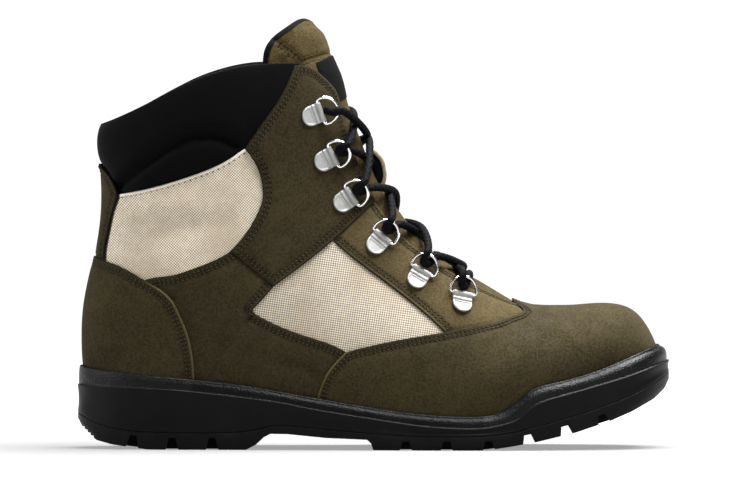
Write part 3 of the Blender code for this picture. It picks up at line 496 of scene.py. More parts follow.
    def evenly(self, path: Array, spacing: float) -> Array:
        """Path resampled at about equal lengths over the surface."""
        along = lengths_along(self.point(*path.T))
        count = max(2, round(along[-1] / spacing) + 1)
        return resampled(path, along, np.linspace(0.0, along[-1], count))


FORM = LastForm()


def linear(colour: Sequence[float]) -> tuple[float, float, float, float]:
    """Linear colour with alpha from screen values of 0 to 255."""
    parts = [c / 255.0 for c in colour]
    return (*[p / 12.92 if p <= 0.04045 else ((p + 0.055) / 1.055) ** 2.4 for p in parts], 1.0)


class NodeTree:
    """Short calls for building one material's nodes."""

    def __init__(self, name: str) -> None:
        """Start a material with its Principled shader."""
        self.material = bpy.data.materials.new(name)
        self.material.use_nodes = True
        self.tree = self.material.node_tree
        self.shader = self.tree.nodes["Principled BSDF"]

    def add(self, kind: str, **values: object) -> bpy.types.Node:
        """New node of a kind, with its properties set."""
        node = self.tree.nodes.new(kind)
        for name, value in values.items():
            setattr(node, name, value)
        return node

    def feed(self, socket: Socket, value: Socket | float | tuple) -> None:
        """Link a socket to another, or set its value."""
        if isinstance(value, Socket):
            self.tree.links.new(value, socket)
        else:
            socket.default_value = value

    def drive(self, name: str, value: Socket) -> None:
        """Link one of the shader's own sockets."""
        self.feed(self.shader.inputs[name], value)

    def fixed(self, **values: float | tuple) -> None:
        """Set values that are the same all over on the shader's own sockets."""
        for name, value in values.items():
            self.shader.inputs[name.replace("_", " ")].default_value = value

    def math(self, operation: str, *values: Socket | float) -> Socket:
        """Result of a sum.

        Args:
            operation: Name of the sum.
            values: Up to three sockets or numbers.

        Returns:
            Socket of the result.
        """
        node = self.add("ShaderNodeMath", operation=operation)
        for socket, value in zip(node.inputs, values):
            self.feed(socket, value)
        return node.outputs[0]

    def plus(self, a: Socket, b: Socket | float) -> Socket:
        """Sum of two values."""
        return self.math("ADD", a, b)

    def minus(self, a: Socket, b: Socket | float) -> Socket:
        """Difference of two values."""
        return self.math("SUBTRACT", a, b)

    def times(self, a: Socket, b: Socket | float) -> Socket:
        """Product of two values."""
        return self.math("MULTIPLY", a, b)

    def apart(self, a: Socket, b: float) -> Socket:
        """Size of the difference of two values."""
        return self.math("ABSOLUTE", self.minus(a, b))

    def soft(self, value: Socket, low: float, high: float, start: float = 0.0, end: float = 1.0) -> Socket:
        """Soft step between two levels.

        Args:
            value: Value that decides the level.
            low: Value at which the step starts.
            high: Value at which it ends.
            start: Level up to low.
            end: Level from high on.

        Returns:
            Socket of the level.
        """
        node = self.add("ShaderNodeMapRange", interpolation_type="SMOOTHSTEP")
        for socket, given in zip(node.inputs, (value, low, high, start, end)):
            self.feed(socket, given)
        return node.outputs[0]

    def mix(self, share: Socket | float, *colours: Socket | Colour) -> Socket:
        """Colour between two others.

        Args:
            share: Share of the second colour.
            colours: Two sockets, or colours in screen values of 0 to 255.

        Returns:
            Socket of the colour.
        """
        node = self.add("ShaderNodeMix", data_type="RGBA")
        self.feed(node.inputs[0], share)
        for socket, colour in zip(node.inputs[6:8], colours):
            self.feed(socket, colour if isinstance(colour, Socket) else linear(colour))
        return node.outputs[2]

    def place(self) -> Socket:
        """Place on the boot, in metres."""
        return self.add("ShaderNodeTexCoord").outputs["Object"]

    def parts(self, vector: Socket) -> list[Socket]:
        """The three parts of a vector."""
        node = self.add("ShaderNodeSeparateXYZ")
        self.feed(node.inputs[0], vector)
        return list(node.outputs)

    def noise(self, size: float, detail: float = 2.0, roughness: float = 0.5) -> Socket:
        """Soft noise.

        Args:
            size: About the size of its features in millimetres.
            detail: Number of finer layers.
            roughness: Strength of each finer layer.

        Returns:
            Socket with values round 0.5.
        """
        node = self.add("ShaderNodeTexNoise")
        values = {"Scale": 1.0 / (size * MM), "Detail": detail, "Roughness": roughness}
        for name, value in {"Vector": self.place(), **values}.items():
            self.feed(node.inputs[name], value)
        return node.outputs["Fac"]

    def attribute(self, name: str) -> Socket:
        """Value stored on the mesh."""
        return self.add("ShaderNodeAttribute", attribute_name=name).outputs["Fac"]

    def bump(self, height: Socket, depth: float, strength: float) -> None:
        """Relief on the shader.

        Args:
            height: Height from 0 to 1.
            depth: Depth of the relief in millimetres.
            strength: Share of it that shows.
        """
        node = self.add("ShaderNodeBump")
        for name, value in {"Height": height, "Distance": depth * MM, "Strength": strength}.items():
            self.feed(node.inputs[name], value)
        self.drive("Normal", node.outputs[0])


@dataclass(frozen=True)
class Finish:
    """One surface finish. Its material is made once and shared."""

    name: str

    def material(self) -> bpy.types.Material:
        """The finish's material."""
        found = bpy.data.materials.get(self.name)
        if found is None:
            nodes = NodeTree(self.name)
            self.dress(nodes)
            found = nodes.material
        return found

    def dress(self, nodes: NodeTree) -> None:
        """Build the finish's nodes."""
        raise NotImplementedError


@dataclass(frozen=True)
class Nubuck(Finish):
    """Napped leather with clouded colour, paler cut edges low down and to the rear, dark ones elsewhere, and
    needle holes along its seams; the holes, the sewn band and the dark edges carry painted shade.
    """

    colour: Colour = (62, 54, 32)
    shade: Colour = (36, 31, 17)
    pale: Colour = (96, 86, 58)
    # Dark colour: painted shade in the needle holes, painted shade with dirt in the sewn band, and painted
    # shade with the dyed edge along the dark edges.
    hole: Colour = (15, 12, 8)
    sheen: Colour = (150, 138, 100)
    cloud_share: float = 0.55
    patch_share: float = 0.18
    fleck_share: float = 1.6
    tone_range: Pair = (0.82, 1.52)
    edge_share: float = 0.7
    edge_from: float = 0.15
    edge_width: float = 0.9
    pale_below: float = 0.0
    pale_behind: float = -8.0
    pale_blend: float = 8.0
    band_starts: Pair = (1.0, 1.8)
    band_ends: Pair = (4.2, 5.6)
    band_share: float = 0.36
    hole_length: Pair = (0.08, 0.26)
    hole_width: Pair = (0.2, 0.62)
    hole_depth: float = 2.0
    sewn: bool = True

    def edge_tone(self, nodes: NodeTree) -> Socket:
        """Colour of the edge, pale only low down and to the rear, elsewhere dark: partly the dyed edge,
        partly painted shade along it.
        """
        ahead, _, height = nodes.parts(nodes.place())
        levels = []
        for value, limit in ((height, self.pale_below), (ahead, self.pale_behind)):
            levels.append(nodes.soft(value, (limit - self.pale_blend) * MM, limit * MM, 1.0, 0.0))
        return nodes.mix(nodes.times(*levels), self.hole, self.pale)

    def needle_holes(self, nodes: NodeTree, away: Socket) -> Socket:
        """Mask of the needle holes, which are painted dark as the shade inside them.

        Args:
            nodes: Nodes of the finish.
            away: Distance from the seam's edge.

        Returns:
            Socket that is 1 in a hole and 0 off it.
        """
        along = nodes.math("DIVIDE", nodes.attribute("seam_along"), STITCH_PITCH)
        phase = nodes.apart(nodes.math("FRACT", nodes.plus(along, 0.5)), 0.5)
        at_hole = nodes.soft(phase, *self.hole_length, 1.0, 0.0)
        masks = []
        for row in STITCH_ROWS:
            in_row = nodes.soft(nodes.apart(away, row), *self.hole_width, float(self.sewn), 0.0)
            masks.append(nodes.times(in_row, at_hole))
        return nodes.math("MAXIMUM", *masks)

    def dress(self, nodes: NodeTree) -> None:
        """Build the nap, the edge, the sewn band and its needle holes, with painted shade in the holes, the
        band and the dark edges.
        """
        patch = nodes.noise(7.0, detail=3.0, roughness=0.6)
        cloud = nodes.times(nodes.noise(34.0, detail=3.0, roughness=0.55), self.cloud_share)
        fleck = nodes.times(nodes.noise(1.15, detail=3.0, roughness=0.75), self.fleck_share)
        relief = nodes.plus(nodes.times(patch, self.patch_share), fleck)
        tone = nodes.soft(nodes.plus(cloud, relief), *self.tone_range)
        colour = nodes.mix(tone, self.shade, self.colour)
        away = nodes.attribute("seam_distance")
        # Near free edges the face takes the edge colour; where it is dark, that is partly the dyed edge and
        # partly painted shade along the edge.
        rim = nodes.soft(away, self.edge_from, self.edge_width, self.edge_share, 0.0)
        colour = nodes.mix(rim, colour, self.edge_tone(nodes))
        # The sewn band is darkened towards the dark colour: partly dirt, partly painted shade along the
        # stitched trough.
        if self.sewn:
            fades = nodes.soft(away, *self.band_ends, self.band_share, 0.0)
            colour = nodes.mix(nodes.times(nodes.soft(away, *self.band_starts), fades), colour, self.hole)
        # The needle holes are painted in the dark colour as the shade inside them, with a dent in the bump.
        holes = self.needle_holes(nodes, away)
        nodes.drive("Base Color", nodes.mix(holes, colour, self.hole))
        nodes.drive("Roughness", nodes.soft(patch, 0.3, 0.7, 0.96, 0.82))
        nodes.fixed(Specular_IOR_Level=0.12, Sheen_Weight=0.05, Sheen_Roughness=0.4)
        nodes.fixed(Sheen_Tint=linear(self.sheen))
        nodes.bump(nodes.minus(relief, nodes.times(holes, self.hole_depth)), depth=0.22, strength=0.6)


@dataclass(frozen=True)
class BasketWeave(Finish):
    """Woven nylon, laid at an angle in the side view."""

    angle: float = 0.0
    pitch: float = 0.74
    thread: Colour = (240, 230, 210)
    # Colour between the threads: painted shade of the weave, whose relief is only a bump.
    gap: Colour = (112, 96, 74)
    soil: Colour = (150, 132, 106)
    fold: Colour = (232, 225, 210)
    tape: Colour = (14, 12, 10)
    wave_share: float = 0.85
    slub_share: float = 0.25
    soil_share: float = 0.4
    fold_share: float = 0.9
    fold_edge: Pair = (1.2, 1.5)
    tape_edge: Pair = (1.3, 1.9)

    def dress(self, nodes: NodeTree) -> None:
        """Build threads that pass over and under each other with painted shade between them, the folded hem,
        soil with painted fold shade, and the dark strip by the heel stay, partly binding and partly painted
        shade.
        """
        x, _, z = nodes.parts(nodes.place())
        turn = math.radians(self.angle)
        scale = 1.0 / (self.pitch * MM)
        waves = []
        for a, b in ((math.cos(turn), math.sin(turn)), (-math.sin(turn), math.cos(turn))):
            along = nodes.plus(nodes.times(x, a * scale), nodes.times(z, b * scale))
            waves.append(nodes.math("SINE", nodes.times(along, math.pi)))
        height = nodes.math("MULTIPLY_ADD", nodes.times(*waves), 0.5, 0.5)
        slub = nodes.noise(2.6, detail=3.0, roughness=0.6)
        tone = nodes.plus(nodes.times(height, self.wave_share), nodes.times(slub, self.slub_share))
        # From the gap colour to the thread colour with the weave's height: painted shade between the threads.
        colour = nodes.mix(nodes.soft(tone, 0.1, 1.0), self.gap, self.thread)
        # Clouded darkening of the nylon: partly soil, partly painted shade of its folds.
        soiled_and_fold_shaded = nodes.soft(nodes.noise(26.0), 0.35, 0.7, 0.0, self.soil_share)
        folded = nodes.soft(nodes.attribute("seam_distance"), *self.fold_edge, self.fold_share, 0.0)
        # Dark strip along the backstay's edge: partly a dark binding, partly painted shade under the raised
        # edge.
        stay_bound_and_shaded = nodes.soft(nodes.attribute("stay_distance"), *self.tape_edge, 1.0, 0.0)
        for share, other in ((soiled_and_fold_shaded, self.soil), (folded, self.fold), (stay_bound_and_shaded, self.tape)):
            colour = nodes.mix(share, colour, other)
        nodes.drive("Base Color", colour)
        nodes.fixed(Roughness=0.75, Specular_IOR_Level=0.3, Sheen_Weight=0.1)
        nodes.bump(height, depth=0.3, strength=0.55)


@dataclass(frozen=True)
class Textile(Finish):
    """Close black cloth with a fine knit."""

    colour: Colour = (8, 8, 8)
    dark: Colour = (4, 4, 4)
    knit: float = 0.55
    sheen: float = 0.01

    def dress(self, nodes: NodeTree) -> None:
        """Build the knit and its slight sheen."""
        grain = nodes.noise(self.knit, roughness=0.6)
        tone = nodes.times(nodes.plus(grain, nodes.noise(14.0)), 0.5)
        nodes.drive("Base Color", nodes.mix(tone, self.dark, self.colour))
        nodes.drive("Roughness", nodes.soft(grain, 0.3, 0.7, 0.9, 0.72))
        nodes.fixed(Specular_IOR_Level=0.05, Sheen_Weight=self.sheen, Sheen_Roughness=0.4)
        nodes.bump(grain, depth=0.12, strength=0.5)


class RubberGrain(Enum):
    """Moulded surface of a part of the sole: roughness, grain size, grain depth and shine."""

    SATIN = (0.45, 5.0, 0.05, 0.1)
    GLOSS = (0.32, 1.0, 0.16, 0.1)
    STIPPLE = (0.36, 1.0, 0.16, 0.17)


@dataclass(frozen=True)
class Rubber(Finish):
    """Black moulded rubber."""

    grain: RubberGrain = RubberGrain.SATIN
    colour: Colour = (12, 12, 12)
    dust: Colour = (20, 20, 20)
    dust_share: float = 0.5
    pebbled: Pair = (-151.0, -136.0)
    pebble_share: float = 4.0

    def dress(self, nodes: NodeTree) -> None:
        """Build the moulded grain, the pebbled heel and a trace of dust."""
        roughness, size, depth, shine = self.grain.value
        cloud = nodes.noise(18.0, detail=4.0, roughness=0.6)
        dusty = nodes.soft(cloud, 0.45, 0.8, 0.0, self.dust_share)
        nodes.drive("Base Color", nodes.mix(dusty, self.colour, self.dust))
        nodes.drive("Roughness", nodes.soft(cloud, 0.25, 0.75, roughness - 0.06, roughness + 0.1))
        nodes.fixed(Specular_IOR_Level=shine)
        rear, front = self.pebbled
        heel = nodes.soft(nodes.parts(nodes.place())[0], rear * MM, front * MM, self.pebble_share, 0.0)
        pebble = nodes.times(nodes.noise(1.1, roughness=0.55), heel)
        grain = nodes.soft(nodes.noise(size, roughness=0.55), 0.3, 0.7)
        nodes.bump(nodes.plus(grain, pebble), depth, strength=0.8)


@dataclass(frozen=True)
class Steel(Finish):
    """Nickelled steel with faint rubbing marks, polished or satin."""

    colour: Colour = (240, 240, 238)
    worn: Colour = (205, 205, 203)
    roughness: float = 0.16
    metal: float = 1.0

    def dress(self, nodes: NodeTree) -> None:
        """Build the polish."""
        rub = nodes.noise(3.2)
        nodes.drive("Base Color", nodes.mix(nodes.soft(rub, 0.4, 0.8, 0.0, 0.4), self.colour, self.worn))
        nodes.drive("Roughness", nodes.soft(rub, 0.3, 0.8, self.roughness - 0.04, self.roughness + 0.06))
        nodes.fixed(Metallic=self.metal)


@dataclass(frozen=True)
class Yarn(Finish):
    """Twisted or braided yarn of one colour."""

    colour: Colour = (13, 13, 15)
    dark: Colour = (2, 2, 2)
    fibre: float = 0.35

    def dress(self, nodes: NodeTree) -> None:
        """Build the fibres."""
        fibre = nodes.noise(self.fibre, detail=3.0, roughness=0.7)
        nodes.drive("Base Color", nodes.mix(nodes.soft(fibre, 0.3, 0.7), self.dark, self.colour))
        nodes.fixed(Roughness=0.7, Specular_IOR_Level=0.05)
        nodes.bump(fibre, depth=0.1, strength=0.6)


# Darker copy for the backstay, quarters, ankle panels and keeper: painted shade on the panels that use it.
NUBUCK = Nubuck("leather_nap", colour=(58, 50, 30), shade=(34, 29, 16))
NUBUCK_PALE_EDGE = Nubuck("leather_nap_pale_edge", edge_width=1.5, pale_below=89.0)
CUT_LEATHER = Nubuck("cut_leather", colour=(150, 137, 110), shade=(122, 110, 86), edge_share=0.0)
# Lighter copy for the eyestays: partly a paler leather, partly painted light on their up- and forward-facing
# face.
NUBUCK_LIGHT = Nubuck("leather_nap_light", colour=(80, 69, 43), shade=(54, 46, 27))
NUBUCK_PLAIN = Nubuck("leather_nap_unsewn", colour=(72, 60, 32), edge_share=0.0, sewn=False)
# The weaves' gap colours are painted shade between the threads.
WEAVE_REAR = BasketWeave("weave_rear", angle=4.0, thread=(252, 241, 220), gap=(104, 88, 66))
WEAVE_FRONT = BasketWeave("weave_front", angle=36.0, pitch=0.82, thread=(224, 214, 195), gap=(90, 77, 59))
LINING = Textile("lining", knit=0.8)
PADDING = Textile("padding", colour=(11, 11, 11))
PATCH = Textile("patch", colour=(14, 14, 15), knit=0.4)
FOOTBED = Textile("footbed_cloth", colour=(44, 43, 42), dark=(24, 24, 24), knit=0.9)
RUBBER = Rubber("rubber_satin")
RUBBER_GLOSS = Rubber("rubber_gloss", grain=RubberGrain.GLOSS)
RUBBER_STIPPLE = Rubber("rubber_stipple", grain=RubberGrain.STIPPLE)
STEEL = Steel("polished_steel")
PLATE = Steel("satin_steel", colour=(164, 164, 162), worn=(140, 140, 138), roughness=0.46, metal=0.25)
BRAID = Yarn("lace_braid", colour=(18, 18, 22))
THREAD = Yarn("seam_thread", colour=(74, 66, 43), dark=(42, 36, 22), fibre=0.3)
HEM_THREAD = Yarn("hem_thread", colour=(70, 56, 40), dark=(40, 31, 22), fibre=0.3)
# Dark walls of the leather panels: partly the dyed cut edge, partly painted shade along the edges over the
# nylon.
CUT_EDGE = Textile("cut_edge", colour=(34, 28, 18), dark=(20, 16, 10))


def make_object(
    name: str, points: Array, faces: Iterable[Sequence[int]], finishes: Sequence[Finish],
) -> Object:
    """Smooth mesh object from points in millimetres.

    Args:
        name: Name of the piece.
        points: Points in millimetres.
        faces: Corner numbers of each face.
        finishes: Finishes, in the order of the faces' material numbers.

    Returns:
        Object in the scene.
    """
    mesh = bpy.data.meshes.new(name)
    mesh.from_pydata((np.asarray(points) * MM).tolist(), [], [tuple(int(i) for i in face) for face in faces])
    for finish in finishes:
        mesh.materials.append(finish.material())
    mesh.shade_smooth()
    piece = bpy.data.objects.new(name, mesh)
    bpy.context.scene.collection.objects.link(piece)
    return piece


def tidy_mesh(mesh: Mesh, weld: float = 0.0) -> None:
    """Weld a closed mesh where asked and turn its faces outwards.

    Args:
        mesh: Mesh to tidy.
        weld: Distance in millimetres within which points become one.
    """
    work = bmesh.new()
    work.from_mesh(mesh)
    if weld:
        bmesh.ops.remove_doubles(work, verts=work.verts, dist=weld * MM)
    bmesh.ops.recalc_face_normals(work, faces=work.faces)
    work.to_mesh(mesh)
    work.free()


def set_values(mesh: Mesh, name: str, values: Array) -> None:
    """Store a value for each point of a mesh."""
    layer = mesh.attributes.new(name, "FLOAT", "POINT")
    layer.data.foreach_set("value", np.asarray(values, np.float32))


def declare(piece: Object, slot: str, *nodes: str) -> Object:
    """Ride a piece on the boot and hide the solids that it stands for.

    Args:
        piece: Piece to declare.
        slot: Not used.
        nodes: Solids that the piece stands for.

    Returns:
        The piece.
    """
    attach(piece, ROOT)
    if nodes:
        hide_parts(*nodes)
    log.info("%s: %d faces", piece.name, len(piece.data.polygons))
    return piece


@dataclass
class Stretch:
    """One run of a panel's edge, as rows of section and turn, with its stitch rows where it is free."""

    path: Array
    kind: EdgeKind
    rows: Floats = STITCH_ROWS


@dataclass
class Crease:
    """A soft trough or ridge seen from the side: place, direction, size and depth in millimetres."""

    x: float
    z: float
    angle: float
    length: float
    width: float
    depth: float

    def at(self, points: Array) -> Array:
        """Depth that the crease adds at points."""
        turn = math.radians(self.angle)
        dx, dz = points[:, 0] - self.x, points[:, 2] - self.z
        along = (dx * math.cos(turn) + dz * math.sin(turn)) / self.length
        across = (dz * math.cos(turn) - dx * math.sin(turn)) / self.width
        return self.depth * np.exp(-along**2 - across**2)


@dataclass
class Panel:
    """A layer of the wall inside an outline, with rolled, tucked and hidden edges."""

    name: str
    nodes: tuple[str, ...]
    slot: str
    stretches: list[Stretch]
    face: float
    back: float
    finishes: tuple[Finish, ...]
    spacing: float = 1.9
    roll: float = EDGE_ROLL
    round_back: bool = False
    puff: float = 0.25
    free_puff: Pair = (4.0, 9.0)
    tuck_puff: Pair = (3.0, 9.0)
    weld: float = 0.0
    creases: Table = ()
    wall: Finish = CUT_EDGE
    pitch: float = STITCH_PITCH
    stitch_reach: float = 0.9
    stitch_seat: float = 0.7
    least_run: float = 0.8
    row_slack: float = 0.35
    edge_spacing: float = 1.25
    least_gap: float = 0.05
    trial: float = 0.4
    free_rows: Floats = (0.12, 0.3, 0.55, 1.0, 1.6, 2.2, 2.8, 3.4, 4.0, 4.7, 5.8)
    tuck_rows: Floats = (0.9, 1.8, 2.6, 3.3, 4.2)
    hidden_rows: Floats = (1.6,)
    row_share: float = 0.82
    spread_share: float = 0.45
    girth_steps: int = 41
    least_girth: float = 10.0
    section_scale: float = 20.0
    turn_scale: float = 100.0
    inward: float = field(init=False, default=1.0)

    def __post_init__(self) -> None:
        """Space the edge's points evenly and find which way is inwards."""
        for stretch in self.stretches:
            stretch.path = FORM.evenly(stretch.path, self.edge_spacing)
        loop = np.concatenate([stretch.path for stretch in self.stretches])
        tries = np.concatenate([FORM.sidestep(s.path, self.trial)[2:-2] for s in self.stretches])
        self.inward = 1.0 if inside(loop, tries).mean() > 0.5 else -1.0
        for stretch in self.stretches:
            if stretch.kind is TUCKED:
                stretch.path = FORM.sidestep(stretch.path, -self.inward * TUCK)

    def outline(self) -> Array:
        """Closed edge as rows of section and turn, with no point twice."""
        loop = np.concatenate([stretch.path for stretch in self.stretches])
        points = FORM.point(*loop.T)
        gaps = np.linalg.norm(points - np.roll(points, 1, axis=0), axis=1)
        return loop[gaps > self.least_gap]

    def edge_gaps(self, points: Array, kind: EdgeKind) -> tuple[Array, Array]:
        """Nearest edge of a kind.

        Args:
            points: Points of the form.
            kind: Kind of edge.

        Returns:
            Distances to the edge, and lengths along it.
        """
        best, place = np.full(len(points), FAR_FROM_SEAM), np.zeros(len(points))
        for stretch in self.stretches:
            if stretch.kind is kind:
                gap, along = nearest_on_line(points, FORM.point(*stretch.path.T))
                place = np.where(gap < best, along, place)
                best = np.minimum(gap, best)
        return best, place

    def filling(self, loop: Array) -> Array:
        """Points inside the outline: rows along its edges and an even spread in the middle.

        Args:
            loop: Outline as rows of section and turn.

        Returns:
            Rows of section and turn.
        """
        kept = []
        offsets = {FREE: self.free_rows, TUCKED: self.tuck_rows, HIDDEN: self.hidden_rows}
        edge = FORM.point(*np.concatenate((loop, loop[:1])).T)
        for stretch in self.stretches:
            for offset in offsets[stretch.kind]:
                moved = FORM.sidestep(stretch.path, self.inward * offset)
                gap, _ = nearest_on_line(FORM.point(*moved.T), edge)
                kept.append(moved[(gap > self.row_share * offset) & inside(loop, moved)])
        low, high = loop.min(0), loop.max(0)
        lines = np.arange(low[0], high[0], self.spacing / self.section_scale)
        spread = []
        for number, t in enumerate(lines):
            round_form = np.linspace(0.0, 1.0, self.girth_steps)
            girth = lengths_along(FORM.point(np.full(self.girth_steps, t), round_form))[-1]
            step = self.spacing / max(girth, self.least_girth)
            turns = np.arange(low[1] + (number % 2) * step / 2.0, high[1], step)
            spread.append(np.stack((np.full(len(turns), t), turns), axis=1))
        spread = np.concatenate(spread)
        spread = spread[inside(loop, spread)]
        points = FORM.point(*spread.T)
        clear = np.ones(len(points), bool)
        for kind, rows in offsets.items():
            clear &= self.edge_gaps(points, kind)[0] > rows[-1] + self.spread_share * self.spacing
        return np.concatenate([*kept, spread[clear]])

    def rolled(self, gap: Array) -> Array:
        """Drop of the face towards a free edge."""
        near = np.clip(1.0 - gap / self.roll, 0.0, 1.0)
        return self.roll * (1.0 - np.sqrt(1.0 - near**2))

    def sink(self, points: Array) -> Array:
        """Depth that both faces of the panel gain at points of the form."""
        return np.zeros(len(points))

    def depth_at(self, points: Array, free: Array, tucked: Array) -> Array:
        """Depth of the panel's face.

        Args:
            points: Points of the form.
            free: Distances to the free edges.
            tucked: Distances to the tucked edges.

        Returns:
            Depths below the outside of the upper leather layer.
        """
        depth = self.face + self.rolled(free) + self.sink(points)
        rows = {row for s in self.stretches if s.kind is FREE for row in s.rows}
        for row in rows:
            depth += TROUGH_DEPTH * np.exp(-((free - row) / TROUGH_WIDTH) ** 2)
        depth -= self.puff * smoothstep(*self.free_puff, free) * smoothstep(*self.tuck_puff, tucked)
        depth += (TUCK_DEPTH - self.face) * (1.0 - smoothstep(TUCK, TUCK + TUCK_BLEND, tucked))
        for crease in self.creases:
            depth += Crease(*crease).at(points)
        return depth

    def build(self) -> Object:
        """Returns:
            The piece.
        """
        loop = self.outline()
        plane = np.concatenate((loop, self.filling(loop))) * (self.section_scale, self.turn_scale)
        count = len(loop)
        ring = [(i, (i + 1) % count) for i in range(count)]
        found = geometry.delaunay_2d_cdt([Vector(p) for p in plane], ring, [], 1, 1e-6)
        t, w = (np.array([v[:] for v in found[0]]) / (self.section_scale, self.turn_scale)).T
        faces = np.array([face for face in found[2] if len(face) == 3])
        points = FORM.point(t, w)
        free, along = self.edge_gaps(points, FREE)
        tucked, _ = self.edge_gaps(points, TUCKED)
        normal = FORM.normal(t, w)
        front = points - self.depth_at(points, free, tucked)[:, None] * normal
        depth_back = self.back + self.sink(points) - (self.rolled(free) if self.round_back else 0.0)
        rear = points - depth_back[:, None] * normal
        sides = {}
        for a, b, c in faces:
            for edge in ((a, b), (b, c), (c, a)):
                sides[tuple(sorted(edge))] = edge if tuple(sorted(edge)) not in sides else None
        size = len(points)
        walls = [(b, a, a + size, b + size) for a, b in (e for e in sides.values() if e is not None)]
        everything = [*faces.tolist(), *(faces[:, ::-1] + size).tolist(), *walls]
        piece = make_object(self.name, np.concatenate((front, rear)), everything, (*self.finishes, self.wall))
        numbers = np.zeros(len(everything), np.int32)
        numbers[len(faces):2 * len(faces)] = len(self.finishes) - 1
        numbers[2 * len(faces):] = len(self.finishes)
        self.choose_finish(piece.data, numbers, points, faces)
        piece.data.polygons.foreach_set("material_index", numbers)
        far = np.full(size, FAR_FROM_SEAM)
        set_values(piece.data, "seam_distance", np.concatenate((free, far)))
        set_values(piece.data, "seam_along", np.concatenate((along, np.zeros(size))))
        tidy_mesh(piece.data, self.weld)
        return declare(piece, self.slot, *self.nodes)

    def choose_finish(self, mesh: Mesh, numbers: Array, points: Array, faces: Array) -> None:
        """Change the faces' material numbers where a panel has more than one face finish."""

    def row_frames(self, path: Array, row: float, clear: float) -> Frames:
        """Centre, run and outward direction of the stitches of one row.

        Args:
            path: Rows of section and turn that the row runs beside.
            row: Distance from the path, to its left seen from outside.
            clear: Least distance from any free edge.

        Returns:
            Centres, runs and outward directions.
        """
        along = lengths_along(FORM.point(*path.T))
        places = np.arange(self.pitch / 2.0, along[-1], self.pitch)
        moved = FORM.sidestep(path, row)
        reach = (-self.stitch_reach, self.stitch_reach)
        ends = [resampled(moved, along, np.clip(places + d, 0.0, along[-1])) for d in reach]
        middle = resampled(moved, along, places)
        points = FORM.point(*middle.T)
        centre = FORM.skin(*middle.T, self.face + self.stitch_seat * TROUGH_DEPTH + self.sink(points))
        run = FORM.point(*ends[1].T) - FORM.point(*ends[0].T)
        kept = self.edge_gaps(points, FREE)[0] > clear
        kept &= np.linalg.norm(run, axis=1) > self.least_run
        return centre[kept], run[kept], FORM.normal(*middle.T)[kept]

    def stitch_frames(self) -> list[Frames]:
        """Stitches of every row along the panel's free edges."""
        frames = []
        for stretch in self.stretches:
            if stretch.kind is FREE:
                for row in stretch.rows:
                    frames.append(self.row_frames(stretch.path, self.inward * row, row - self.row_slack))
        return frames


# Heights along the sole, as x and z
RIM_LINE = (
    (-160, 43.5), (-150.5, 43), (-146.5, 41.8), (-130.8, 39.8), (-114.8, 38), (-98.9, 36.8),
    (-67.2, 33.3), (-38, 28.3), (-1, 22), (23, 18.8), (46.7, 17.4), (62.6, 18.6), (70.5, 22.4),
    (76, 26.8), (80.5, 30.6), (88, 33.6), (100.5, 36.5), (117, 41.5), (133.6, 48.2), (146.8, 53.5),
    (160, 58),
)
GROOVE_LINE = (
    (-160, 33.4), (-138.6, 32.6), (-111.6, 31.4), (-88, 29.5), (-51.4, 25.1), (-32.6, 21.5),
    (-1, 16.4), (23, 12.9), (38.8, 11.7), (54.6, 11.4), (66.6, 13.4), (76, 17), (84, 23.8),
    (100.5, 29.1), (117, 33.7), (133.6, 38.6), (150, 44.6), (160, 48),
)
TREAD_LINE = (
    (-160, 22), (-150, 16.5), (-140, 12), (-125, 9.4), (-100, 8.6), (-66, 9.4),
    (-50, 12.6), (-25, 10.6), (0, 8.4), (20, 7.2), (55, 7.2), (75, 9.8), (95, 14.9),
    (115, 21), (135, 28.6), (150, 37), (160, 44),
)
FLOOR_LINE = (
    (-160, 20), (-152, 12.4), (-143.4, 4.5), (-135, 2.4), (-126, 1.2), (-116, 0),
    (58, 0), (70, 1.8), (84, 4.3), (104, 9), (122, 14.8), (133.6, 19.7), (145, 25.9),
    (151, 31), (160, 40),
)
FLARE_LINE = (
    (-160, 0.8), (-120, 1.4), (-40, 2.2), (40, 2.8), (100, 3.4), (130, 4.2), (160, 5.6),
)
ARCH_OUTLINE = (
    (-65.7, -2), (-65.7, 0), (-60.4, 2.8), (-56.4, 6.6), (-53, 8.3), (-44, 8.2), (-24.6, 6.3),
    (-3.2, 5.4), (-1.2, 3.6), (0, 0), (0, -2),
)
COLLAR_LOW = (
    (-65.9, 156.2), (-79.5, 147.7), (-96.9, 141), (-115.9, 135.7), (-130.6, 132.9), (-135.6, 139.2),
    (-140, 145.6), (-142, 147.4),
)
COLLAR_HIGH = (
    (-40.4, 199.3), (-62, 199), (-83, 194.4), (-100, 187.6), (-116, 179.4), (-127, 174),
    (-136, 170.2), (-142, 168.2),
)
COLLAR_CREASE = (
    (-134.1, 135), (-128.3, 139.6), (-115.9, 149), (-101.4, 158.3), (-90.5, 162), (-79.5, 161.4),
    (-71.2, 157.8),
)
KEEPER_ARC = (
    (-4, 154), (-0.1, 154.6), (3, 152.4), (5.4, 149.3), (6.6, 144.8), (6.9, 139.9), (5.6, 135.5),
)
RINGS = (
    # x, z, clip_angle
    (-28, 174, 20), (-21.6, 151.2, 27), (-12, 130.4, 35), (4.4, 109.2, 50),
    (24.8, 91.4, 60), (45.8, 79.4, 78),
)


def profile(points: Table, steps: int = 8) -> Callable[[Array], Array]:
    """Height by x along a side-view line, smooth unless it has one step for each row."""
    line = smooth_line(points, steps)
    return lambda x: np.interp(x, line[:, 0], line[:, 1])


RIM_Z, GROOVE_Z, TREAD_Z = profile(RIM_LINE), profile(GROOVE_LINE), profile(TREAD_LINE)
FLARE = profile(FLARE_LINE)
FLOOR_Z = profile(FLOOR_LINE, 1)


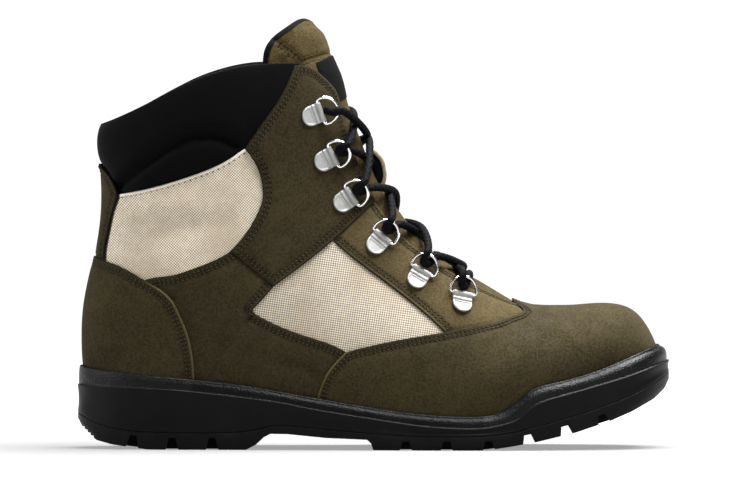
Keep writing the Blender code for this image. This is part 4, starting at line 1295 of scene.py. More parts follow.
def turn_at_rim(t: Array, side: Side, drop: float) -> Array:
    """Signed turns where the form lies a drop below the top of the sole's rim.

    Args:
        t: Sections.
        side: Side of the foot.
        drop: Millimetres below the rim.

    Returns:
        Turns, one for each section.
    """
    low, high = np.zeros(len(t)), np.ones(len(t))
    for _ in range(HALVINGS):
        middle = (low + high) / 2.0
        points = FORM.point(t, side.value * middle)
        above = points[:, 2] > RIM_Z(points[:, 0]) - drop
        low, high = np.where(above, middle, low), np.where(above, high, middle)
    return side.value * low


def above_rim(line: Array, drop: float) -> Array:
    """Part of a side-view line that ends a drop below the sole's rim."""
    return line[line[:, 1] > RIM_Z(line[:, 0]) - drop]


class Nylon(Panel):
    """The woven boot, with its weave turned between the rear and the front window."""

    front_window: Pair = (-66.0, 106.0)
    inset: float = 1.6
    covered: tuple[int, ...] = (0, 2, 6, 8)

    def __post_init__(self) -> None:
        """Draw the edges that leather covers in under it."""
        super().__post_init__()
        for number in self.covered:
            stretch = self.stretches[number]
            stretch.path = FORM.sidestep(stretch.path, self.inward * self.inset)
        self.stretches[0].path[0, 1] = self.stretches[-1].path[-1, 1] = 0.0

    def choose_finish(self, mesh: Mesh, numbers: Array, points: Array, faces: Array) -> None:
        """Lay the front window's weave ahead of and below the ankle panel."""
        middle = points[faces].mean(1)
        ahead = (middle[:, 0] > self.front_window[0]) & (middle[:, 2] < self.front_window[1])
        numbers[:len(faces)][ahead] = 1
        # Distance to the backstay's edge, for the weave's dark strip: partly a binding, partly painted shade.
        stay = between(BACKSTAY_EDGE, COLLAR_SEAM[0], BACKSTAY_EDGE[-1])
        gaps = [nearest_on_line(points, FORM.point(*FORM.trace(stay, side).T))[0] for side in Side]
        near = np.minimum(*gaps)
        set_values(mesh, "stay_distance", np.concatenate((near, np.full(len(near), FAR_FROM_SEAM))))


@dataclass
class UpperWork:
    """The nylon boot, its leather panels and their stitches."""

    rim_drop: float = 1.8
    toe_drop: float = 4.5
    toe_section: float = 1.3
    first_section: float = 0.5
    least_turn: float = 0.02
    heel_overlap: float = 0.02
    vamp_steps: int = 160
    counter_steps: int = 60
    quarter_steps: int = 80
    heel_steps: int = 120
    toe_steps: int = 9
    nylon_row: float = 2.0
    nylon_pitch: float = 3.1
    nylon_spacing: float = 2.2
    nylon_weld: float = 0.01
    hem_length: float = 1.0
    hem_radius: float = 0.36

    def vamp(self) -> Panel:
        """Leather over the toe and forefoot."""
        rear = above_rim(smooth_line(VAMP_REAR), self.toe_drop)
        runs = []
        for side in Side:
            path = np.concatenate((FORM.trace(rear, side), FORM.trace(smooth_line(VAMP_TOP), side)[1:]))
            path[-1, 1] = 0.0
            t = np.linspace(path[0, 0], self.toe_section, self.vamp_steps)
            w = turn_at_rim(t, side, self.toe_drop)
            kept = np.abs(w) > self.least_turn
            t, w = t[kept], w[kept]
            runs.append((path, np.stack((np.append(t, t[-1]), np.append(w, 0.0)), axis=1)))
        (outer, outer_low), (inner, inner_low) = runs
        stretches = [
            Stretch(outer, FREE), Stretch(inner[::-1], FREE),
            Stretch(inner_low, HIDDEN), Stretch(outer_low[::-1], HIDDEN),
        ]
        return Panel("vamp_leather", ("vamp",), "nubuck", stretches, *OVER_LAYER, (NUBUCK_PALE_EDGE,),
                     creases=VAMP_CREASES, wall=NUBUCK_PALE_EDGE)

    def counter(self) -> Panel:
        """Leather round the heel."""
        seam = above_rim(smooth_line(COUNTER_SEAM), self.rim_drop)
        runs = []
        for side in Side:
            path = FORM.trace(seam, side, True)
            path[0, 1] = 1.0
            t = np.linspace(path[-1, 0], HEEL_CLOSES + self.heel_overlap, self.counter_steps)
            w = np.abs(turn_at_rim(t, side, self.rim_drop))
            w[-1] = 1.0
            low = np.stack((t, 2.0 - w if side is Side.OUTER else w), axis=1)
            runs.append((path, low))
        (outer, outer_low), (inner, inner_low) = runs
        stretches = [
            Stretch(outer[::-1], FREE), Stretch(inner, FREE),
            Stretch(inner_low, HIDDEN), Stretch(outer_low[::-1], HIDDEN),
        ]
        return Panel("counter_leather", ("counter",), "nubuck", stretches, *OVER_LAYER, (NUBUCK_PALE_EDGE,),
                     creases=COUNTER_CREASES, wall=NUBUCK_PALE_EDGE)

    def backstay(self) -> Panel:
        """Leather strip up the back of the heel."""
        low = between(COUNTER_SEAM, BACKSTAY_EDGE[-1], COUNTER_SEAM[0])
        runs = []
        for side in Side:
            edge = FORM.trace(smooth_line(BACKSTAY_EDGE), side, True)
            foot = FORM.trace(low, side, True)
            edge[0, 1] = foot[-1, 1] = 1.0
            runs.append((edge, foot))
        (outer, outer_low), (inner, inner_low) = runs
        stretches = [
            Stretch(outer, FREE), Stretch(outer_low, TUCKED),
            Stretch(inner_low[::-1], TUCKED), Stretch(inner[::-1], FREE),
        ]
        return Panel("backstay_leather", ("backstay",), "nubuck", stretches, *UNDER_LAYER, (NUBUCK,),
                     creases=BACKSTAY_FLARE)

    def quarter(self, side: Side) -> Panel:
        """Leather along the lower side."""
        rear = above_rim(between(COUNTER_SEAM, COUNTER_SEAM[-1], QUARTER_TOP[-1]), self.rim_drop)
        front = above_rim(smooth_line(VAMP_REAR)[::-1], self.rim_drop)
        paths = [FORM.trace(line, side) for line in (
            rear, smooth_line(QUARTER_TOP)[::-1], smooth_line(ANKLE_FOOT), smooth_line(QUARTER_TIP), front,
        )]
        t = np.linspace(paths[-1][-1, 0], paths[0][0, 0], self.quarter_steps)
        low = np.stack((t, turn_at_rim(t, side, self.rim_drop)), axis=1)
        kinds = (TUCKED, FREE, TUCKED, FREE, TUCKED)
        stretches = [Stretch(path, kind) for path, kind in zip(paths, kinds)]
        stretches.append(Stretch(low, HIDDEN))
        word = side.word
        return Panel(f"quarter_leather_{word}", (f"quarter_{word}",), "nubuck", stretches, *UNDER_LAYER,
                     (NUBUCK,), creases=QUARTER_CREASES)

    def eyestay(self, side: Side) -> Panel:
        """Leather facing of the lower lacing."""
        split = THROAT_EDGE[THROAT_SPLIT]
        low = FORM.trace(smooth_line(EYESTAY_LOW), side)
        vamp = FORM.trace(between(VAMP_TOP, EYESTAY_LOW[-1], VAMP_TOP[-2]), side)
        throat = FORM.trace(between(THROAT_EDGE, THROAT_EDGE[-2], split), side)
        ankle = FORM.trace(between(ANKLE_LOW, split, EYESTAY_LOW[0]), side)
        stretches = [
            Stretch(low, FREE), Stretch(vamp, TUCKED),
            Stretch(throat, FREE), Stretch(ankle, TUCKED),
        ]
        word = side.word
        return Panel(f"eyestay_leather_{word}", (f"eyestay_{word}",), "nubuck", stretches, *UNDER_LAYER,
                     (NUBUCK_LIGHT,))

    def ankle(self, side: Side) -> Panel:
        """Leather facing of the upper lacing."""
        split = THROAT_EDGE[THROAT_SPLIT]
        lines = (
            smooth_line(ANKLE_REAR)[::-1], smooth_line(WINDOW_FRONT), smooth_line(ANKLE_FOOT),
            smooth_line(ANKLE_LOW), between(THROAT_EDGE, split, THROAT_EDGE[0]),
        )
        stretches = [Stretch(FORM.trace(line, side), FREE) for line in lines]
        word = side.word
        return Panel(f"ankle_leather_{word}", (f"ankle_panel_{word}",), "nubuck", stretches, *OVER_LAYER,
                     (NUBUCK,), creases=ANKLE_CREASES)

    def nylon(self) -> Panel:
        """Woven boot under the leather, open at the collar, the throat and underneath."""
        throat = np.concatenate((smooth_line(THROAT_EDGE)[::-1], smooth_line(ANKLE_REAR)[::-1][1:]))
        heel = between(BACKSTAY_EDGE, COLLAR_SEAM[0], BACKSTAY_EDGE[0])
        runs = []
        for side in Side:
            opening = FORM.trace(throat, side)
            opening[0, 1] = 0.0
            collar = FORM.trace(smooth_line(COLLAR_SEAM)[::-1], side)
            stay = FORM.trace(heel, side)
            stay[-1, 1] = side.value
            t = np.linspace(stay[-1, 0], self.first_section, self.heel_steps)
            back = np.stack((t, np.full(len(t), side.value)), axis=1)
            runs.append((opening, collar, stay, back))
        outer, inner = runs
        turns = np.linspace(-1.0, 1.0, self.toe_steps)
        toe = np.stack((np.full(self.toe_steps, self.first_section), turns), axis=1)
        kinds, rows = (HIDDEN, FREE, HIDDEN, HIDDEN), (self.nylon_row,)
        stretches = [Stretch(path, kind, rows) for path, kind in zip(outer, kinds)]
        stretches.append(Stretch(toe, HIDDEN))
        stretches += [Stretch(path[::-1], kind, rows) for path, kind in zip(inner[::-1], kinds[::-1])]
        return Nylon("nylon_boot", ("upper",), "nylon", stretches, *NYLON_LAYER,
                     (WEAVE_REAR, WEAVE_FRONT, LINING), spacing=self.nylon_spacing, weld=self.nylon_weld,
                     puff=0.0, creases=NYLON_CREASES, wall=PADDING, pitch=self.nylon_pitch)

    def build(self) -> None:
        """Build every panel and then all stitches."""
        panels = [self.nylon(), self.vamp(), self.counter(), self.backstay()]
        for side in Side:
            panels += [self.quarter(side), self.eyestay(side), self.ankle(side)]
        for panel in panels:
            panel.build()
        nylon, *leather = panels
        Stitching().build([frames for panel in leather for frames in panel.stitch_frames()])
        hem = Stitching("hem_stitches", HEM_THREAD, "nylon", length=self.hem_length, radius=self.hem_radius)
        hem.build(nylon.stitch_frames())


@dataclass
class Stitching:
    """Thread of the seams: short arched stitches joined into one mesh for each side."""

    name: str = "stitches"
    finish: Finish = THREAD
    slot: str = "nubuck"
    length: float = 1.75
    radius: float = 0.3
    arch: float = 0.26
    sides: int = 6
    stations: Floats = (-1.0, -0.7, -0.25, 0.25, 0.7, 1.0)
    least_end: float = 0.12

    def pattern(self) -> tuple[Array, list[list[int]]]:
        """Points and faces of one stitch, along X with Z outwards."""
        angles = np.arange(self.sides) * 2.0 * np.pi / self.sides
        rings = []
        for a in self.stations:
            thick = self.radius * math.sqrt(max(self.least_end, 1.0 - a * a))
            height = self.arch * (1.0 - a * a) - 0.5 * self.radius
            x = a * self.length / 2.0
            rings.append([(x, thick * np.cos(u), height + thick * np.sin(u)) for u in angles])
        rings = np.array(rings)
        return rings.reshape(-1, 3), loft(rings)

    def build(self, frames: list[Frames]) -> None:
        """Lay a stitch at every frame.

        Args:
            frames: Centres, runs and outward directions of the stitches, seam by seam.
        """
        centre, run, normal = (np.concatenate(parts) for parts in zip(*frames))
        run = unit_rows(run)
        across = np.cross(normal, run)
        points, faces = self.pattern()
        axes = np.stack((run, across, normal), axis=1)
        placed = centre[:, None, :] + np.einsum("pk,nkc->npc", points, axes)
        for side in Side:
            chosen = placed[centre[:, 1] * side.value > 0.0]
            steps = np.arange(len(chosen)) * len(points)
            every = [[corner + step for corner in face] for step in steps for face in faces]
            piece = make_object(f"{self.name}_{side.word}", chosen.reshape(-1, 3), every, (self.finish,))
            declare(piece, self.slot)


def loft(rings: Array, caps: bool = True) -> list[list[int]]:
    """Faces between closed rings of points.

    Args:
        rings: Array of rings by points by coordinates.
        caps: Whether the first and last ring are closed with a face.

    Returns:
        Corner numbers of each face.
    """
    count, size = rings.shape[:2]
    faces = []
    for i in range(count - 1):
        for j in range(size):
            a, b = i * size + j, i * size + (j + 1) % size
            faces.append([a, b, b + size, a + size])
    if caps:
        faces += [list(range(size))[::-1], list(range((count - 1) * size, count * size))]
    return faces


@dataclass
class Collar:
    """Padded roll round the ankle."""

    stations: int = 130
    shares: int = 26
    edge_face: float = 1.2
    edge_back: float = 5.0
    puff: float = 2.6
    lining_puff: float = 4.0
    crease_depth: float = 4.4
    crease_width: float = 2.6
    outer_rise: float = -0.5
    inner_rise: float = 0.9
    skirt: float = 4.0
    skirt_depth: float = 3.7
    front_tuck: float = 0.14
    front_bow: float = 3.4
    front_reach: Pair = (-0.02, 1.1)
    front_drop: float = 0.5
    front_share: float = 0.2
    rise_starts: Pair = (0.0, 0.8)
    rise_fades: Pair = (2.0, 6.0)
    skirt_rings: int = 5
    skirt_end: float = 0.01
    swell_shape: float = 0.6
    weld: float = 0.01

    def half(self, side: Side) -> Array:
        """Rings of one side, from the ankle panel to the heel line.

        Args:
            side: Side of the foot.

        Returns:
            Array of rings by points by coordinates.
        """
        where = np.linspace(-self.front_tuck, len(COLLAR_LOW) - 1.0, self.stations)
        low, high = natural_spline(COLLAR_LOW)(where), natural_spline(COLLAR_HIGH)(where)
        rise = self.outer_rise if side is Side.OUTER else self.inner_rise
        fade = 1.0 - smoothstep(*self.rise_fades, where)
        high[:, 1] += rise * fade * smoothstep(*self.rise_starts, where)
        share = 0.5 - 0.5 * np.cos(np.pi * np.linspace(0.0, 1.0, self.shares))
        skirt = np.linspace(-self.skirt, -self.skirt_end, self.skirt_rings)
        skirt /= np.linalg.norm(high - low, axis=1).mean()
        share = np.concatenate((skirt, share, share[::-1]))
        lining = np.arange(len(share)) >= self.shares + len(skirt)
        places = low[:, None, :] + (high - low)[:, None, :] * share[None, :, None]
        front = smoothstep(*self.front_reach, where)[:, None]
        places[..., 0] += self.front_bow * np.maximum(np.sin(np.pi * share), 0.0) * (1.0 - front)
        t, w = (part.reshape(places.shape[:2]) for part in FORM.locate(places.reshape(-1, 2)))
        w[-1] = 1.0
        swell = np.maximum(np.sin(np.pi * share), 0.0) ** self.swell_shape
        gap, _ = nearest_on_line(places.reshape(-1, 2), smooth_line(COLLAR_CREASE))
        crease = self.crease_depth * np.exp(-(gap.reshape(t.shape) / self.crease_width) ** 2)
        padding = self.puff * swell * (self.front_share + (1.0 - self.front_share) * front)
        face = self.edge_face + self.front_drop * (1.0 - front) - padding + crease
        face = np.where(share < 0.0, self.skirt_depth, face)
        depth = np.where(lining, self.edge_back + self.lining_puff * swell, face)
        return FORM.skin(t, 2.0 - w if side is Side.OUTER else w, depth)

    def build(self) -> None:
        """Build the roll as rings from one ankle panel round to the other."""
        rings = np.concatenate((self.half(Side.OUTER), self.half(Side.INNER)[-2::-1]))
        piece = make_object("collar_roll", rings.reshape(-1, 3), loft(rings), (PADDING,))
        tidy_mesh(piece.data, self.weld)
        declare(piece, "textile", "collar")


class TonguePart(Panel):
    """A layer of the tongue, which leans back at its top and sinks under the lacing."""

    lean: float = 0.12
    lean_from: float = 195.0
    tuck: float = 3.2
    hollow: float = 1.3
    hollow_width: float = 14.0
    swell: float = 2.2
    swell_width: float = 9.0
    lacing_low: Pair = (80.0, 95.0)
    lacing_high: Pair = (178.0, 192.0)
    foot_rear: Pair = (36.0, 58.0)
    foot_front: Pair = (70.0, 80.0)
    flaps: Pair = (36.0, 46.0)

    def sink(self, points: Array) -> Array:
        """Depth of the lean, of the flaps behind the collar and of the hollow under the lace.

        The tongue swells up in the foot of the throat.

        Args:
            points: Points of the form.

        Returns:
            Depths that both faces gain.
        """
        x, y, z = points.T
        lacing = smoothstep(*self.lacing_low, z) * (1.0 - smoothstep(*self.lacing_high, z))
        hollow = self.hollow * np.exp(-(y / self.hollow_width) ** 2) * lacing
        foot = smoothstep(*self.foot_rear, x) * (1.0 - smoothstep(*self.foot_front, x))
        swell = self.swell * np.exp(-(y / self.swell_width) ** 2) * foot
        leant = self.lean * np.maximum(z - self.lean_from, 0.0)
        return leant + self.tuck * smoothstep(*self.flaps, -x) + hollow - swell


class TongueBody(TonguePart):
    """The padded tongue, bound along its top and seamed above the lacing."""

    binding: float = 2.3
    seam_depth: float = 1.1
    seam_width: float = 1.5
    seam_row: float = 1.3
    seam_sink: float = 0.2
    seam_points: int = 12
    seam_spacing: float = 1.0

    def depth_at(self, points: Array, free: Array, tucked: Array) -> Array:
        """Depth of the face, with the troughs of its seams."""
        depth = super().depth_at(points, free, tucked)
        for seam in TONGUE_SEAMS:
            gap, _ = nearest_on_line(points[:, [0, 2]], np.array(seam))
            depth += self.seam_depth * np.exp(-(gap / self.seam_width) ** 2)
        return depth

    def choose_finish(self, mesh: Mesh, numbers: Array, points: Array, faces: Array) -> None:
        """Lay the binding along the top edges."""
        edges = [FORM.point(*stretch.path.T) for stretch in self.stretches[1:3]]
        near = np.minimum(*(nearest_on_line(points[faces].mean(1), edge)[0] for edge in edges))
        numbers[:len(faces)][near < self.binding] = 1

    def seam_frames(self) -> list[Frames]:
        """Stitches on both sides of the seams."""
        frames = []
        for side in Side:
            for seam in TONGUE_SEAMS:
                line = np.linspace(*seam, self.seam_points)
                path = FORM.evenly(FORM.trace(line, side), self.seam_spacing)
                for row in (-self.seam_row, self.seam_row):
                    centre, run, normal = self.row_frames(path, row, self.binding)
                    frames.append((centre + (self.puff - self.seam_sink) * normal, run, normal))
        return frames


@dataclass
class Tongue:
    """Padded tongue with its plain label and the lace keeper."""

    roll: float = 2.4
    puff: float = 0.6
    foot_section: float = 7.9
    edge_points: int = 12
    label_layer: Pair = (3.0, 4.2)
    label_roll: float = 0.5
    label_half_width: float = 23.0
    label_heights: Pair = (183.0, 205.0)
    label_rows: int = 20
    label_search: tuple[float, float, int] = (15.0, TOP_SECTION, 400)
    keeper_soft: float = 0.35
    keeper_layers: tuple[tuple[str, float, float, float], ...] = (
        # name, outer depth, inner depth, half width
        # The thick black inner layer is partly the loop's webbing and partly a dark fill where there is only
        # shade under the loop.
        ("keeper_loop", 0.0, 2.0, 5.0), ("keeper_webbing", 2.0, 6.4, 4.4),
    )

    def body(self) -> TongueBody:
        """The padded tongue."""
        runs = []
        for side in Side:
            rear = FORM.trace(smooth_line(TONGUE_REAR), side)
            step = FORM.trace(np.linspace(TONGUE_REAR[-1], TONGUE_TOP[0], self.edge_points)[1:], side)
            top = FORM.trace(smooth_line(TONGUE_TOP), side)[1:]
            top[-1, 1] = 0.0
            runs.append((rear, np.concatenate((step, top))))
        (outer, outer_top), (inner, inner_top) = runs
        foot = np.array((inner[0], (self.foot_section, 0.0), outer[0]))
        stretches = [
            Stretch(outer, FREE, ()), Stretch(outer_top, FREE, ()),
            Stretch(inner_top[::-1], FREE, ()),
            Stretch(inner[::-1], FREE, ()), Stretch(foot, HIDDEN),
        ]
        return TongueBody("tongue_pad", ("tongue",), "nubuck", stretches, *TONGUE_LAYER,
                          (NUBUCK_PLAIN, PADDING, LINING), roll=self.roll, round_back=True, puff=self.puff,
                          creases=TONGUE_PAD, wall=PADDING)

    def label(self) -> Panel:
        """Bare black patch on the front of the tongue."""
        samples = np.linspace(*self.label_search)
        t0, t1 = np.interp(self.label_heights, FORM.rows(samples)[:, RIDGE_Z], samples)
        t = np.linspace(t0, t1, self.label_rows)
        row = FORM.rows(t)
        belly, crown = row[:, BELLY], row[:, CROWN]
        share = self.label_half_width / row[:, OUTER_WIDTH]
        w = turn_of(belly * (1.0 - (1.0 - share**crown) ** (1.0 / crown)))
        inner, outer = np.stack((t, w), axis=1), np.stack((t, -w), axis=1)
        top = np.linspace(outer[-1], inner[-1], self.edge_points)
        foot = np.linspace(inner[0], outer[0], self.edge_points)
        stretches = [Stretch(path, FREE, ()) for path in (outer, top, inner[::-1], foot)]
        return TonguePart("label_patch", ("tongue_label",), "textile", stretches, *self.label_layer, (PATCH,),
                          roll=self.label_roll, puff=0.0, wall=PATCH)

    def keeper(self, name: str, outer: float, inner: float, half: float) -> None:
        """One layer of the loop for the lace, with its cut edges to the sides.

        Args:
            name: Name of the piece.
            outer: Depth of its outer face below the loop's outline.
            inner: Depth of its inner face.
            half: Half of its width.
        """
        arc = smooth_line(KEEPER_ARC)
        soft = self.keeper_soft
        ring = (
            (outer, half - soft), (outer, soft - half), (outer + soft, -half), (inner - soft, -half),
            (inner, soft - half), (inner, half - soft), (inner - soft, half), (outer + soft, half),
        )
        rings = []
        for place, out in zip(arc, square_to(np.gradient(arc, axis=0))):
            rings.append([((place + out * depth)[0], y, (place + out * depth)[1]) for depth, y in ring])
        rings = np.array(rings)
        faces = loft(rings)
        leather = outer == 0.0
        finishes = (NUBUCK, CUT_LEATHER) if leather else (LINING,)
        piece = make_object(name, rings.reshape(-1, 3), faces, finishes)
        if leather:
            numbers = [int(k % len(ring) in (1, 2, 3, 5, 6, 7)) for k in range(len(faces))]
            piece.data.polygons.foreach_set("material_index", numbers)
            set_values(piece.data, "seam_distance", np.full(len(piece.data.vertices), FAR_FROM_SEAM))
        tidy_mesh(piece.data)
        declare(piece, *(("nubuck", "lace_keeper") if leather else ("textile",)))

    def build(self) -> None:
        """Build the tongue, its seams, the label and the keeper."""
        body = self.body()
        body.build()
        Stitching("tongue_stitches").build(body.seam_frames())
        self.label().build()
        for layer in self.keeper_layers:
            self.keeper(*layer)


def unit(vector: Array) -> Array:
    """Vector of length one."""
    return vector / np.linalg.norm(vector)


def frames_along(path: Array) -> tuple[Array, Array]:
    """Two directions square to a path, carried along it without twist.

    Args:
        path: Points of the path.

    Returns:
        Arrays of the two directions.
    """
    run = unit_rows(np.gradient(path, axis=0))
    first = np.empty_like(path)
    side = unit(np.cross(run[0], ANY_WAY))
    for i, ahead in enumerate(run):
        side = unit(side - ahead * np.dot(side, ahead))
        first[i] = side
    return first, np.cross(run, first)


@dataclass
class Hardware:
    """Folded clips with D-rings, and where the lace bends round them."""

    knuckle: float = 1.4
    clip_width: float = 10.4
    clip_length: float = 10.9
    neck: float = 1.6
    thick: float = 1.0
    band: float = 0.45
    border: float = 1.3
    dish: float = 0.4
    wire: float = 0.82
    half_width: float = 6.9
    reach: float = 9.0
    tilt: float = 32.0
    gap: float = 0.3
    end_soft: float = 0.35
    end_round: tuple[Pair, ...] = ((0.1, 0.15), (0.0, 0.4))
    band_rises: Pair = (1.9, 2.3)
    band_falls: Pair = (3.6, 3.9)
    groove_at: float = 4.2
    groove_depth: float = 0.35
    groove_width: float = 0.3
    side_soft: float = 0.45
    dish_from: Pair = (4.8, 5.6)
    corner: float = 1.5
    side_steps: int = 22
    wire_sides: int = 14
    least_gap: float = 0.02
    weld: float = 0.005

    def frame(self, number: int, side: Side) -> tuple[Array, Array, Array, Array]:
        """Place of a clip's knuckle and its axes.

        Args:
            number: Number of the clip, from the top.
            side: Side of the foot.

        Returns:
            The place, and the directions towards the ring, along its bar and outwards.
        """
        x, z, angle = RINGS[number]
        t, w = FORM.trace(np.array([(x, z)]), side)[0]
        normal = FORM.normal(t, w)
        place = FORM.point(t, w) + normal * (self.knuckle + self.gap)
        turn = math.radians(angle)
        ahead = np.array((math.cos(turn), 0.0, math.sin(turn)))
        ahead = unit(ahead - normal * np.dot(ahead, normal))
        return place, ahead, np.cross(normal, ahead), normal

    def tilted(self, ahead: Array, normal: Array) -> tuple[Array, Array]:
        """Directions of a ring that stands off the leather: along it and square to it."""
        turn = math.radians(self.tilt)
        out = ahead * math.cos(turn) + normal * math.sin(turn)
        return out, normal * math.cos(turn) - ahead * math.sin(turn)

    def bow(self, shift: float) -> float:
        """Distance of a ring's bow from its bar, a shift to the side of its middle."""
        return self.reach - self.half_width + math.sqrt(self.half_width**2 - shift**2)

    def clip_profile(self) -> Array:
        """Outer line of the folded clip in X and Z, from under the knuckle over it to the plate's end."""
        top = self.thick - self.knuckle
        angles = np.radians(np.arange(-90.0, 151.0, 12.0))
        bend = np.stack((np.cos(angles), np.sin(angles)), axis=1) * self.knuckle
        x = np.linspace(-self.neck, self.end_soft - self.clip_length, 44)
        raised = self.band * (smoothstep(*self.band_rises, -x) - smoothstep(*self.band_falls, -x))
        groove = self.groove_depth * np.exp(-((x + self.groove_at) / self.groove_width) ** 2)
        plate = np.stack((x, top + raised - groove), axis=1)
        blend = np.linspace(bend[-1], plate[0], 5)[1:-1]
        end = np.array([(inset - self.clip_length, top - drop) for inset, drop in self.end_round])
        return np.concatenate((bend, blend, plate, end))

    def clip(self) -> tuple[Array, list[list[int]]]:
        """A plate with a rounded end and a folded knuckle, which is at the origin.

        Returns:
            Points and faces.
        """
        line = self.clip_profile()
        half = self.clip_width / 2.0
        centre = half - self.clip_length
        rows = []
        for x, z in line:
            beyond = np.clip(centre - x, 0.0, half * 0.998)
            width = math.sqrt(half**2 - beyond**2)
            soft = min(self.side_soft, 0.4 * width)
            lift = z + self.knuckle
            turn = np.linspace(-1.0, 1.0, self.side_steps)
            across = width * np.sign(turn) * np.abs(turn) ** 0.7
            drop = soft * np.clip((np.abs(across) - (width - soft)) / soft, 0.0, 1.0) ** 2
            inner = np.minimum(width - np.abs(across), x + self.clip_length)
            dished = smoothstep(0.7 * self.border, self.border, inner) * smoothstep(*self.dish_from, -x)
            drop += self.dish * dished
            height = z - np.minimum(drop, 0.8 * lift)
            rows.append(np.stack((np.full(self.side_steps, x), across, height), axis=1))
        rows = np.array(rows)
        under = rows.copy()
        under[:, :, 2] = -self.knuckle
        under[:, :, 0] = np.minimum(under[:, :, 0], 0.0)
        rings = np.concatenate((rows, under[:, ::-1]), axis=1)
        return rings.reshape(-1, 3), loft(rings)

    def ring(self) -> tuple[Array, list[list[int]]]:
        """A D-ring in X and Y with its bar through the origin.

        Returns:
            Points and faces.
        """
        corner, half = self.corner, self.half_width
        angles = np.radians(np.arange(90.0, -91.0, -9.0))
        centre = self.reach - half
        bow = np.stack((centre + half * np.cos(angles), half * np.sin(angles)), axis=1)
        turns = np.radians(np.arange(0.0, 91.0, 15.0))
        lower = [(corner * (1.0 - np.sin(a)), -half + corner * (1.0 - np.cos(a))) for a in turns]
        upper = [(corner * (1.0 - np.cos(a)), half - corner * (1.0 - np.sin(a))) for a in turns]
        bar = [(0.0, y) for y in np.linspace(corner - half, half - corner, 9)]
        line = np.array([*bow, *lower, *bar[1:-1], *upper])
        line = line[np.linalg.norm(line - np.roll(line, 1, axis=0), axis=1) > self.least_gap]
        square = square_to(np.roll(line, -1, axis=0) - np.roll(line, 1, axis=0))
        angles = np.arange(self.wire_sides) * 2.0 * np.pi / self.wire_sides
        rings = []
        for place, out in zip(line, square):
            rings.append([(*(place + out * self.wire * np.cos(a)), self.wire * np.sin(a)) for a in angles])
        rings = np.array([*rings, rings[0]])
        return rings.reshape(-1, 3), loft(rings, caps=False)

    def build(self) -> None:
        """Place every clip and ring."""
        for side in Side:
            for number in range(len(RINGS)):
                place, ahead, bar, normal = self.frame(number, side)
                out, square = self.tilted(ahead, normal)
                for kind, (points, faces), axes, finish in (
                    ("clip", self.clip(), (ahead, bar, normal), PLATE),
                    ("ring", self.ring(), (out, bar, square), STEEL),
                ):
                    node = f"{kind}_{side.word}_{number + 1}"
                    placed = place + points @ np.array(axes)
                    piece = make_object(f"steel_{node}", placed, faces, (finish,))
                    tidy_mesh(piece.data, self.weld)
                    declare(piece, "steel", node)


